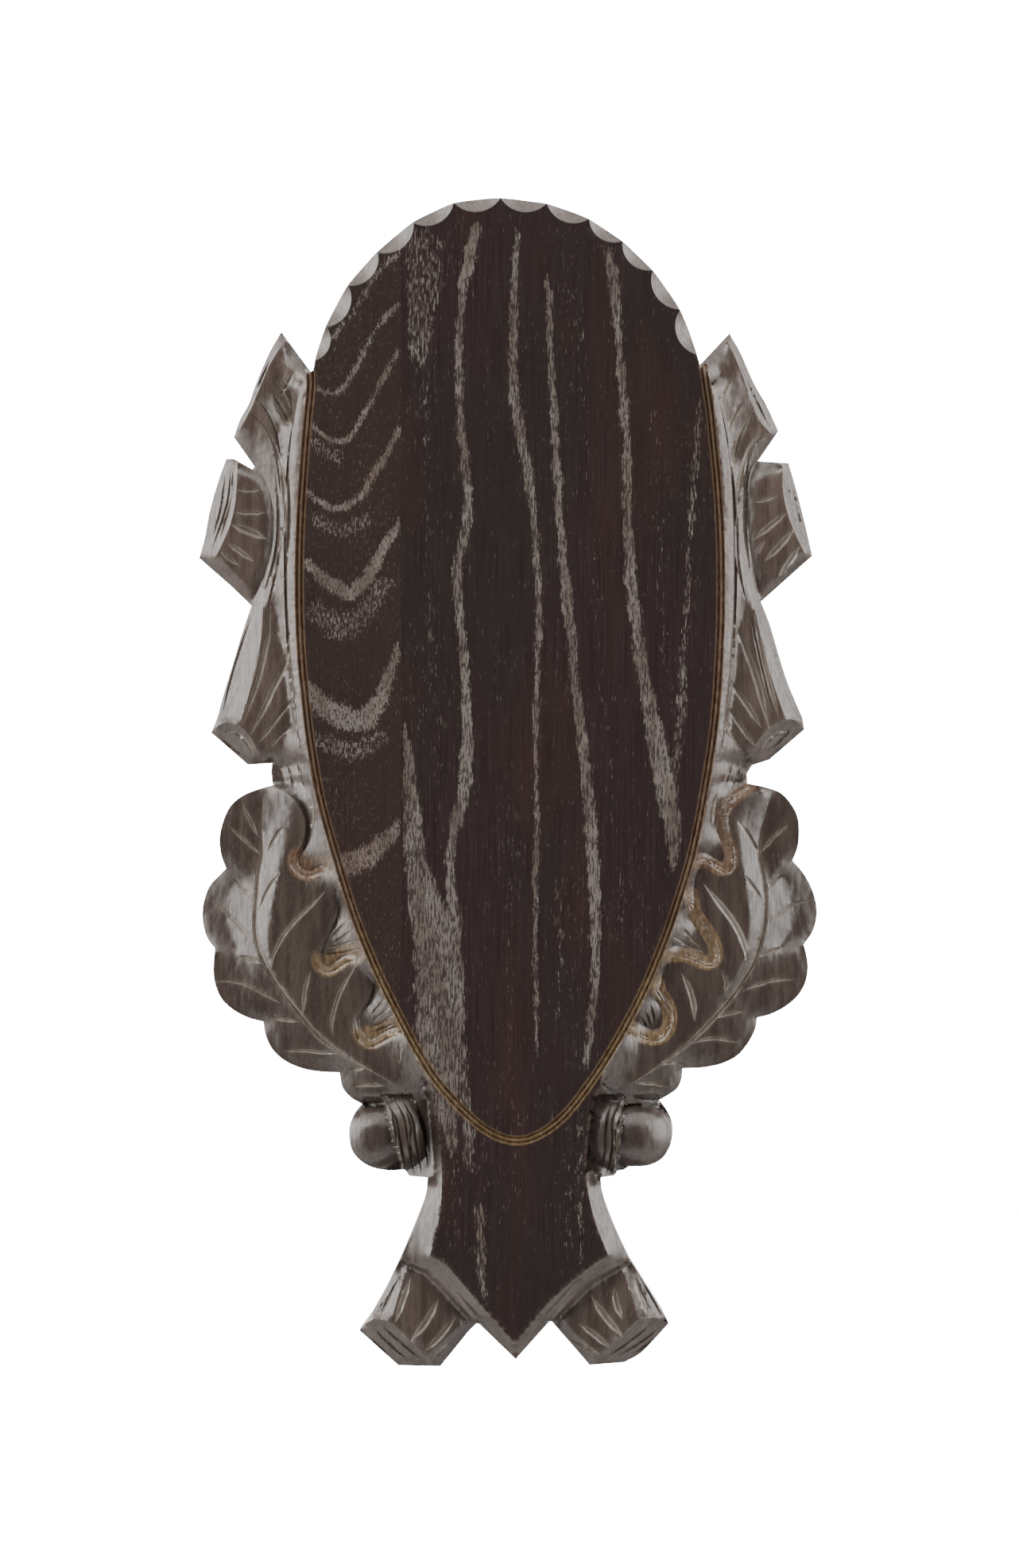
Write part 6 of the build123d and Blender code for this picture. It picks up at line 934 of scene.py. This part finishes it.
def rounded(w, hgt, rad, cx, cz, n=10):
    pts = []
    for sx, sz, a0 in ((1, 1, 0), (-1, 1, 90), (-1, -1, 180), (1, -1, 270)):
        for t in np.linspace(0, 90, n):
            a = math.radians(a0 + t)
            pts.append((cx + sx * (w / 2 - rad) + rad * math.cos(a), cz + sz * (hgt / 2 - rad) + rad * math.sin(a)))
    return np.array(pts)


def fill(loops, grid, holes=()):
    """Triangles inside the first loops, outside the holes."""
    pts, eds, zones = [], [], []
    for lp in list(loops) + list(holes):
        b = len(pts)
        pts.extend(map(tuple, lp[:, :2]))
        eds.extend((b + i, b + (i + 1) % len(lp)) for i in range(len(lp)))
    count = len(pts)
    allp = np.array(pts)
    if grid:
        gx = np.arange(allp[:, 0].min() + grid, allp[:, 0].max(), grid)
        gz = np.arange(allp[:, 1].min() + grid, allp[:, 1].max(), grid)
        X, Z = np.meshgrid(gx, gz)
        c = np.c_[X.ravel(), Z.ravel()]
        ok = inside(np.array(loops[0]), c) if len(loops) == 1 else np.ones(len(c), bool)
        for hl in holes:
            ok &= ~inside(np.array(hl), c)
        c = c[ok]
        near = np.ones(len(c), bool)
        step = max(1, len(allp) // 1500)
        for q in allp[::step]:
            near &= np.hypot(c[:, 0] - q[0], c[:, 1] - q[1]) > grid * 0.45
        pts.extend(map(tuple, c[near]))
    out = delaunay_2d_cdt([Vector(q) for q in pts], eds, [], 0, 1e-5)
    v = np.array([(q[0], q[1]) for q in out[0]])
    f = np.array([t for t in out[2] if len(t) == 3])
    m = v[f].mean(1)
    ok = np.zeros(len(f), bool)
    for lp in loops:
        ok |= inside(np.array(lp), m)
    for hl in holes:
        ok &= ~inside(np.array(hl), m)
    f = f[ok]
    ar = np.cross(v[f[:, 1]] - v[f[:, 0]], v[f[:, 2]] - v[f[:, 0]])
    f[ar < 0] = f[ar < 0][:, ::-1]
    source = [next((s for s in src if s < count), -1) for src in out[3]]
    return v, f, source


def boundary_loops(faces):
    edge = {}
    for a, b, c in faces:
        for i, j in ((a, b), (b, c), (c, a)):
            edge[(i, j)] = True
    nxt = {i: j for (i, j) in edge if (j, i) not in edge}
    loops = []
    while nxt:
        start, j = next(iter(nxt.items()))
        lp = [start]
        del nxt[start]
        while j != start:
            lp.append(j)
            j = nxt.pop(j)
        loops.append(lp)
    return loops


def island(faces, seeds):
    """Groups of faces that share vertices."""
    parent = np.arange(N)

    def root(i):
        while parent[i] != i:
            parent[i] = parent[parent[i]]
            i = parent[i]
        return i

    for a, b, c in faces:
        ra, rb = root(a), root(b)
        if ra != rb:
            parent[rb] = ra
        rc, ra = root(c), root(a)
        if ra != rc:
            parent[rc] = ra
    return np.array([root(a) for a in faces[:, 0]])


mid = V[F].mean(1)
left = mid[:, 0] < GLUE_X
groups = {}
right_faces = F[~left]
left_faces = F[left]
for label, faces in (("left", left_faces), ("right", right_faces)):
    ids = island(faces, None)
    kinds, counts = np.unique(ids, return_counts=True)
    for kind, count in zip(kinds, counts):
        if count < 40:
            continue
        part = faces[ids == kind]
        zmean = V[part].mean(1)[:, 1].mean()
        groups["right_board" if label == "right" else ("left_board_foot" if zmean < -90 else "left_board")] = part

ATTRS = {"pore": pore, "gild": gild, "carved": carved, "crest": crest, "hollow_shade": hollow_shade, "cut_highlight": cut_highlight_mask}


def make_board(name, faces):
    ids = np.unique(faces)
    new = {int(i): k for k, i in enumerate(ids)}
    verts = [(V[i, 0], -h[i], V[i, 1]) for i in ids]
    attr = {k: list(a[ids]) for k, a in ATTRS.items()}
    f3 = [tuple(new[int(i)] for i in t) for t in faces]
    quads = []

    def push(x, y, z, like=None, carve=1.0):
        verts.append((x, y, z))
        for k in attr:
            attr[k].append(0.0)
        attr["carved"][-1] = carve
        return len(verts) - 1

    back_loops = []
    for lp in boundary_loops(f3):
        if len(lp) < 6:
            continue
        pos = np.array([(verts[i][0], verts[i][2]) for i in lp])
        rows = [lp]
        for frac in (0.66, 0.33, 0.0):
            rows.append([push(pos[i, 0], verts[v][1] * frac, pos[i, 1]) for i, v in enumerate(lp)])
        n = len(lp)
        for a, b in zip(rows, rows[1:]):
            for i in range(n):
                j = (i + 1) % n
                quads.append((a[j], a[i], b[i], b[j]))
        back_loops.append((rows[-1], pos))
    back_holes = []
    if name == "right_board":
        seat = rounded(plate_w, plate_h, plate_h / 2 - 0.001, 0, hz, 14)
        pocket = rounded(POCKET[0], POCKET[1], POCKET[2], 0, hz, 6)
        pilots = [np.array([(sx * SCREW_X + 1.5 * math.cos(t), hz + 1.5 * math.sin(t)) for t in np.linspace(0, 2 * math.pi, 20, endpoint=False)]) for sx in (-1, 1)]
        seat0 = [push(x, 0.0, z) for x, z in seat]
        seat1 = [push(x, -plate_t, z) for x, z in seat]
        pock1 = [push(x, -plate_t, z) for x, z in pocket]
        pock2 = [push(x, -POCKET[3], z) for x, z in pocket]

        def ring(a, b):
            n = len(a)
            for i in range(n):
                j = (i + 1) % n
                quads.append((a[j], a[i], b[i], b[j]))

        ring(seat0, seat1)
        ring(pock1, pock2)
        holes2 = [(pock1, pocket)]
        for pl in pilots:
            p1 = [push(x, -plate_t, z) for x, z in pl]
            p2 = [push(x, -12.0, z) for x, z in pl]
            ring(p1, p2)
            c = push(pl[:, 0].mean(), -12.0, hz)
            for i in range(len(p2)):
                f3.append((p2[i], c, p2[(i + 1) % len(p2)]))
            holes2.append((p1, pl))
        v, f, src = fill([seat], 0, [q for _, q in holes2])
        flat = seat1 + [i for ids_, _ in holes2 for i in ids_]
        for t in f:
            f3.append(tuple(flat[src[i]] for i in t[::-1]))
        v, f, src = fill([pocket], 0)
        for t in f:
            f3.append(tuple(pock2[src[i]] for i in t[::-1]))
        back_holes.append((seat0, seat))
    for ids_, lp in back_loops:
        v, f, src = fill([lp], 6.0, [q for _, q in back_holes])
        flat = list(ids_) + [i for a, _ in back_holes for i in a]
        made = {}
        for t in f:
            tri = []
            for i in t[::-1]:
                if src[i] >= 0:
                    tri.append(flat[src[i]])
                else:
                    if i not in made:
                        made[i] = push(v[i][0], 0.0, v[i][1])
                    tri.append(made[i])
            f3.append(tuple(tri))
    mesh = bpy.data.meshes.new(name + "_wood")
    co = np.array(verts) / 1000.0
    mesh.from_pydata(co.tolist(), [], [list(t) for t in f3] + [list(q) for q in quads])
    mesh.validate()
    for k, a in attr.items():
        at = mesh.attributes.new(k, "FLOAT", "POINT")
        at.data.foreach_set("value", np.array(a, np.float32))
    mesh.polygons.foreach_set("use_smooth", np.ones(len(mesh.polygons), bool))
    mesh.set_sharp_from_angle(angle=math.radians(32))
    ob = bpy.data.objects.new(name + "_wood", mesh)
    bpy.context.collection.objects.link(ob)
    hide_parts(name)
    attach(ob, "root")
    return ob


# ------------------------------------------------------------------ materials
def node(tree, kind, **sets):
    n = tree.nodes.new(kind)
    for k, v in sets.items():
        setattr(n, k, v)
    return n


class Mat:
    """Small helper: node graphs in mm."""

    def __init__(self, name):
        self.m = bpy.data.materials.new(name)
        self.m.use_nodes = True
        self.t = self.m.node_tree
        self.b = self.t.nodes["Principled BSDF"]
        self.pos = node(self.t, "ShaderNodeTexCoord").outputs["Object"]

    def link(self, a, b):
        self.t.links.new(a, b)

    def put(self, sock, v):
        if hasattr(v, "is_output"):
            self.link(v, sock)
        else:
            sock.default_value = v

    def scaled(self, sx, sy, sz, offset=(0, 0, 0), source=None):
        n = node(self.t, "ShaderNodeMapping")
        n.inputs["Scale"].default_value = (sx * 1000, sy * 1000, sz * 1000)
        n.inputs["Location"].default_value = offset
        self.link(source or self.pos, n.inputs["Vector"])
        return n.outputs["Vector"]

    def noise(self, vec, detail=2.0, rough=0.5, scale=1.0, dist=0.0):
        n = node(self.t, "ShaderNodeTexNoise")
        n.inputs["Scale"].default_value = scale
        n.inputs["Detail"].default_value = detail
        n.inputs["Roughness"].default_value = rough
        n.inputs["Distortion"].default_value = dist
        self.link(vec, n.inputs["Vector"])
        return n.outputs["Fac"]

    def math(self, op, a, b=0.0, c=None, clamp=False):
        n = node(self.t, "ShaderNodeMath", operation=op, use_clamp=clamp)
        self.put(n.inputs[0], a)
        self.put(n.inputs[1], b)
        if c is not None:
            self.put(n.inputs[2], c)
        return n.outputs[0]

    def ramp(self, v, lo, hi, out_lo=0.0, out_hi=1.0):
        n = node(self.t, "ShaderNodeMapRange", interpolation_type="SMOOTHSTEP")
        self.put(n.inputs["Value"], v)
        self.put(n.inputs["From Min"], lo)
        self.put(n.inputs["From Max"], hi)
        self.put(n.inputs["To Min"], out_lo)
        self.put(n.inputs["To Max"], out_hi)
        return n.outputs["Result"]

    def mix(self, f, a, b):
        n = node(self.t, "ShaderNodeMix", data_type="RGBA")
        self.put(n.inputs["Factor"], f)
        self.put(n.inputs["A"], (*a, 1) if isinstance(a, tuple) else a)
        self.put(n.inputs["B"], (*b, 1) if isinstance(b, tuple) else b)
        return n.outputs["Result"]

    def attr(self, name):
        return node(self.t, "ShaderNodeAttribute", attribute_name=name).outputs["Fac"]


def wood(name, shift, dot, warm):
    """Stained open-pored wood; dot is how short the vessels look, warm how far the stain has faded to brown."""
    m = Mat(name)
    pore, gild, carved = m.attr("pore"), m.attr("gild"), m.attr("carved")
    crest, hollow_shade, cut_highlight = m.attr("crest"), m.attr("hollow_shade"), m.attr("cut_highlight")
    # the filled vessels: fine streaks along the grain, crowded where a ring is open
    streak = m.noise(m.scaled(2.9, 1.0, 0.36 * dot, shift), 2.0, 0.55)
    fine = m.noise(m.scaled(5.0, 1.6, 0.85 * dot, shift), 1.5, 0.6)
    edge = m.noise(m.scaled(1.6, 1.0, 0.35, (shift[2], 1, shift[0])), 2.0, 0.6)
    dash = m.math("MULTIPLY_ADD", fine, 0.38, m.math("MULTIPLY", streak, 0.62))
    dense = m.math("MULTIPLY", pore, m.math("MULTIPLY_ADD", edge, 0.9, 0.55))
    some = m.noise(m.scaled(0.12, 0.12, 0.03, (shift[1], 4, shift[0])), 2.0, 0.5)
    level = m.math("SUBTRACT", m.math("MULTIPLY_ADD", dense, -0.135, 0.622 - (0.024 if warm > 0.1 else 0.0)), m.ramp(some, 0.42, 0.66, 0.0, 0.030))
    open_pore = m.ramp(m.math("SUBTRACT", dash, level), -0.012, 0.030)
    open_pore = m.math("MULTIPLY", open_pore, m.ramp(dense, 0.0, 0.35, 0.50, 1.0))
    open_pore = m.math("MAXIMUM", open_pore, m.ramp(dense, 0.50, 0.85, 0.0, 0.16))
    # colour of the stain
    fibre = m.noise(m.scaled(3.4, 1.2, 0.050, shift), 3.0, 0.6)
    cloud = m.noise(m.scaled(0.035, 0.035, 0.012, shift), 2.0, 0.5)
    red = m.noise(m.scaled(0.09, 0.09, 0.02, (shift[0] + 3, 0, 5)), 2.0, 0.5)
    base = m.mix(m.ramp(fibre, 0.35, 0.70), (0.0175, 0.0100, 0.0100), (0.0310, 0.0195, 0.0192))
    base = m.mix(m.ramp(cloud, 0.35, 0.65, 0.0, 0.5), base, (0.0185, 0.0135, 0.0125))
    base = m.mix(m.ramp(red, 0.50, 0.74, 0.0, 0.50), base, (0.0350, 0.0160, 0.0125))
    base = m.mix(m.ramp(cloud, 0.30, 0.60, warm * 0.5, warm), base, (0.0310, 0.0205, 0.0158))
    # carved faces took the stain unevenly; their tone is also painted light and shade by height, lighter on the
    # branches and darker on the leaves
    patch = m.noise(m.scaled(0.45, 0.45, 0.07, shift), 3.0, 0.6)
    split = node(m.t, "ShaderNodeSeparateXYZ")
    m.link(m.pos, split.inputs[0])
    up = split.outputs["Z"]
    front = m.ramp(split.outputs["Y"], -0.0115, -0.0090, 1.0, 0.0)  # the back and the sawn edges are one tone
    # painted shade on the leaves and painted light on the branches: the carved tone steps with height
    shaded_leaf_zone = m.math("MULTIPLY", m.ramp(up, -0.090, -0.080), m.ramp(up, -0.004, 0.006, 1.0, 0.0))
    shaded_leaf_zone = m.math("MULTIPLY", shaded_leaf_zone, front)
    dark = m.mix(shaded_leaf_zone, (0.0530, 0.0370, 0.0305), (0.0420, 0.0295, 0.0245))
    pale_tone = m.mix(shaded_leaf_zone, (0.0900, 0.0680, 0.0565), (0.0720, 0.0545, 0.0455))
    lit_branch_zone = m.math("MULTIPLY", m.ramp(up, -0.004, 0.006), front)
    dark = m.mix(lit_branch_zone, dark, (0.0660, 0.0460, 0.0380))
    pale_tone = m.mix(lit_branch_zone, pale_tone, (0.1150, 0.0870, 0.0720))
    cut_tone = m.mix(m.ramp(patch, 0.36, 0.68), dark, pale_tone)
    cut_tone = m.mix(m.ramp(fibre, 0.40, 0.66, 0.0, 0.35), cut_tone, (0.0340, 0.0235, 0.0195))
    base = m.mix(m.math("MULTIPLY", carved, 0.85), base, cut_tone)
    # painted shade: hollows and thin score lines darkened in the colour
    base = m.mix(m.math("MULTIPLY", hollow_shade, 0.50), base, (0.012, 0.0068, 0.0050))
    base = m.mix(m.math("MULTIPLY", crest, 0.42), base, (0.170, 0.142, 0.116))
    # painted highlight: pale walls on the wide cuts and the fine band lines
    cut_highlight_edge = m.ramp(m.math("MULTIPLY_ADD", m.math("SUBTRACT", edge, 0.5), 0.5, cut_highlight), 0.30, 0.62)
    base = m.mix(m.math("MULTIPLY", cut_highlight_edge, 0.85), base, m.mix(m.ramp(patch, 0.35, 0.65), (0.165, 0.140, 0.116), (0.240, 0.212, 0.182)))
    # limed pores
    tone = m.noise(m.scaled(0.22, 0.5, 0.06, shift), 1.0)
    pore_tint = m.mix(m.ramp(tone, 0.4, 0.6), (0.088, 0.069, 0.057), (0.134, 0.115, 0.101))
    pore_tint = m.mix(m.ramp(red, 0.50, 0.72, 0.0, 0.5), pore_tint, (0.110, 0.070, 0.055))
    strength = m.math("MULTIPLY", open_pore, m.math("SUBTRACT", 1.0, m.math("MULTIPLY", carved, 0.55)))
    base = m.mix(strength, base, pore_tint)
    # gold-brown glaze left in the lines, brighter towards the foot
    g1 = m.noise(m.scaled(1.6, 1.2, 0.5, shift), 3.0, 0.65)
    g2 = m.noise(m.scaled(0.10, 0.10, 0.06, shift), 2.0, 0.5)
    gold = m.mix(m.ramp(g1, 0.36, 0.66), (0.084, 0.045, 0.0270), (0.172, 0.116, 0.072))
    gold = m.mix(m.ramp(g2, 0.42, 0.62, 0.0, 0.75), gold, (0.095, 0.062, 0.036))
    low = m.ramp(up, -0.050, -0.012, 0.60, 0.0)
    gold = m.mix(low, gold, m.mix(m.ramp(g1, 0.38, 0.62), (0.096, 0.060, 0.025), (0.215, 0.155, 0.075)))
    gmask = m.ramp(m.math("SUBTRACT", m.math("MULTIPLY", gild, 1.15), m.math("MULTIPLY", g1, 0.45)), 0.0, 0.45)
    base = m.mix(m.math("MULTIPLY", gmask, 0.85), base, gold)
    m.link(base, m.b.inputs["Base Color"])
    # satin lacquer
    rough = m.math("ADD", m.math("MULTIPLY_ADD", fibre, 0.14, 0.19), m.math("MULTIPLY", open_pore, 0.25))
    rough = m.math("ADD", rough, m.math("MULTIPLY_ADD", gild, 0.08, m.math("MULTIPLY", patch, 0.08)))
    m.link(rough, m.b.inputs["Roughness"])
    m.b.inputs["Specular IOR Level"].default_value = 0.45
    # the lacquer has sunk into the scraped grain of the carved faces
    scrape = m.noise(m.scaled(2.3, 2.3, 0.16, (shift[0], 7, 1)), 3.0, 0.65)
    worn = m.math("MULTIPLY", carved, m.ramp(scrape, 0.44, 0.60))
    m.link(m.math("MULTIPLY_ADD", worn, -0.55, 0.95), m.b.inputs["Coat Weight"])
    m.b.inputs["Coat Roughness"].default_value = 0.19
    # relief of brushed grain, pores and knife chatter
    bump1 = node(m.t, "ShaderNodeBump")
    bump1.inputs["Strength"].default_value = 0.35
    bump1.inputs["Distance"].default_value = 0.00008
    hgt = m.math("SUBTRACT", m.math("MULTIPLY", fibre, 0.8), m.math("MULTIPLY", open_pore, 0.5))
    m.link(hgt, bump1.inputs["Height"])
    bump2 = node(m.t, "ShaderNodeBump")
    bump2.inputs["Strength"].default_value = 0.35
    bump2.inputs["Distance"].default_value = 0.00025
    chat = m.noise(m.scaled(1.1, 1.1, 0.40, shift), 3.0, 0.55)
    m.link(m.math("MULTIPLY", chat, carved), bump2.inputs["Height"])
    m.link(bump1.outputs["Normal"], bump2.inputs["Normal"])
    m.link(bump2.outputs["Normal"], m.b.inputs["Normal"])
    return m.m


def metal(name, tone, tint, yellow=0.0):
    m = Mat(name)
    blot = m.noise(m.scaled(0.5, 0.5, 0.5), 3.0, 0.6)
    scratch = m.noise(m.scaled(6.0, 6.0, 0.25), 2.0, 0.6)
    base = m.mix(m.ramp(blot, 0.35, 0.65), tone, tint)
    base = m.mix(m.ramp(scratch, 0.58, 0.72, 0.0, 0.35), base, (0.75, 0.74, 0.72))
    m.link(base, m.b.inputs["Base Color"])
    m.b.inputs["Metallic"].default_value = 1.0
    m.link(m.math("MULTIPLY_ADD", blot, 0.22, 0.24), m.b.inputs["Roughness"])
    bump = node(m.t, "ShaderNodeBump")
    bump.inputs["Strength"].default_value = 0.25
    bump.inputs["Distance"].default_value = 0.00005
    m.link(m.math("ADD", scratch, blot), bump.inputs["Height"])
    m.link(bump.outputs["Normal"], m.b.inputs["Normal"])
    return m.m


left_wood = wood("stained_ash_left", (7.3, 1.0, 2.7), 2.3, 0.55)
right_wood = wood("stained_ash_right", (0.4, 2.0, 9.1), 1.0, 0.0)
for name, faces in groups.items():
    board = make_board(name, faces)
    board.data.materials.append(right_wood if name == "right_board" else left_wood)

zinc = metal("zinc_plate", (0.42, 0.43, 0.44), (0.58, 0.58, 0.57))
yellow = metal("screw_zinc", (0.46, 0.40, 0.24), (0.60, 0.55, 0.38))
for name, mat in (("keyhole_hanger", zinc), ("hanger_screw_left", yellow), ("hanger_screw_right", yellow)):
    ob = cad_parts[name]
    ob = ob if hasattr(ob, "data") else bpy.data.objects[name]
    ob.data.materials.clear()
    ob.data.materials.append(mat)

# ------------------------------------------------------------------ camera, light and floor
scene = bpy.context.scene
cam_data = bpy.data.cameras.new("camera")
cam_data.lens = 200.0
cam_data.sensor_width = 36.0
cam_data.clip_start = 0.01
cam = bpy.data.objects.new("camera", cam_data)
scene.collection.objects.link(cam)
FRAME_H = 0.33541  # height of the view just below the flat field, m
dist = FRAME_H * cam_data.lens / 36.0
cam.location = (0.0002, -0.016 - dist, -0.0001)
cam.rotation_euler = (math.radians(90), 0, 0)
scene.camera = cam


# a white light tent: bright all round the shield at the sides and above, dark where the camera
# stands, dim from below
TENT = 5.5
world = bpy.data.worlds.new("light_tent")
scene.world = world
world.use_nodes = True
wt = world.node_tree
ray = node(wt, "ShaderNodeTexCoord")
axes = node(wt, "ShaderNodeSeparateXYZ")
wt.links.new(ray.outputs["Generated"], axes.inputs[0])


def tent_ramp(source, lo, hi, out_lo, out_hi):
    n = node(wt, "ShaderNodeMapRange", interpolation_type="SMOOTHSTEP")
    wt.links.new(source, n.inputs["Value"])
    for key, v in (("From Min", lo), ("From Max", hi), ("To Min", out_lo), ("To Max", out_hi)):
        n.inputs[key].default_value = v
    return n.outputs["Result"]


def tent_math(op, a, b):
    n = node(wt, "ShaderNodeMath", operation=op)
    for i, v in enumerate((a, b)):
        if hasattr(v, "is_output"):
            wt.links.new(v, n.inputs[i])
        else:
            n.inputs[i].default_value = v
    return n.outputs[0]


sides = tent_ramp(axes.outputs["Y"], -0.87, -0.50, 0.0, 1.0)
above = tent_ramp(axes.outputs["Z"], -0.50, 0.15, 0.19, 1.0)
left_right = tent_ramp(axes.outputs["X"], -1.0, 1.0, 1.08, 0.92)
zenith = tent_ramp(axes.outputs["Z"], 0.45, 0.97, 1.0, 0.36)
behind = tent_ramp(axes.outputs["Y"], -0.08, 0.45, 1.0, 0.36)
light = tent_math("MULTIPLY", tent_math("MULTIPLY", sides, tent_math("MULTIPLY", above, tent_math("MULTIPLY", zenith, behind))), left_right)
background = wt.nodes["Background"]
background.inputs["Color"].default_value = (1.0, 0.975, 0.945, 1)
wt.links.new(tent_math("ADD", tent_math("MULTIPLY", light, TENT), 0.06), background.inputs["Strength"])

key = bpy.data.lights.new("key", "AREA")
key.shape = "RECTANGLE"
key.size, key.size_y = 0.7, 0.5
key.energy = 3.0
key_ob = bpy.data.objects.new("key", key)
scene.collection.objects.link(key_ob)
key_ob.location = (-0.75, -0.95, 1.05)
key_ob.rotation_euler = (-key_ob.location).to_track_quat("-Z", "Y").to_euler()
key_ob.visible_camera = False


def stage_of(name, corners, faces, mat):
    me = bpy.data.meshes.new(name)
    me.from_pydata(corners, [], faces)
    o = bpy.data.objects.new(name, me)
    scene.collection.objects.link(o)
    me.materials.append(mat)
    return o


pale = bpy.data.materials.new("pale_floor")
pale.use_nodes = True
pale.node_tree.nodes["Principled BSDF"].inputs["Base Color"].default_value = (0.80, 0.80, 0.79, 1)
pale.node_tree.nodes["Principled BSDF"].inputs["Roughness"].default_value = 0.9
glow = bpy.data.materials.new("bright_backdrop")
glow.use_nodes = True
gb = glow.node_tree.nodes["Principled BSDF"]
gb.inputs["Base Color"].default_value = (0.9, 0.9, 0.9, 1)
gb.inputs["Emission Color"].default_value = (1, 1, 1, 1)
gb.inputs["Emission Strength"].default_value = 16.0
FLOOR_Z = -0.80
floor = stage_of("floor", [(-6, -6, FLOOR_Z), (6, -6, FLOOR_Z), (6, 6, FLOOR_Z), (-6, 6, FLOOR_Z)], [(0, 1, 2, 3)], pale)
wall = [(5.0 * math.sin(a), -5.0 * math.cos(a), z) for z in (FLOOR_Z + 0.01, 4.5) for a in np.linspace(0, 2 * math.pi, 48, endpoint=False)]
round_wall = stage_of("backdrop", wall, [(i, (i + 1) % 48, 48 + (i + 1) % 48, 48 + i) for i in range(48)], glow)
# floor and backdrop are only what the camera sees round the shield: the light tent does the lighting
for ob in (floor, round_wall):
    ob.visible_diffuse = False
    ob.visible_glossy = False
    ob.visible_transmission = False
round_wall.visible_shadow = False
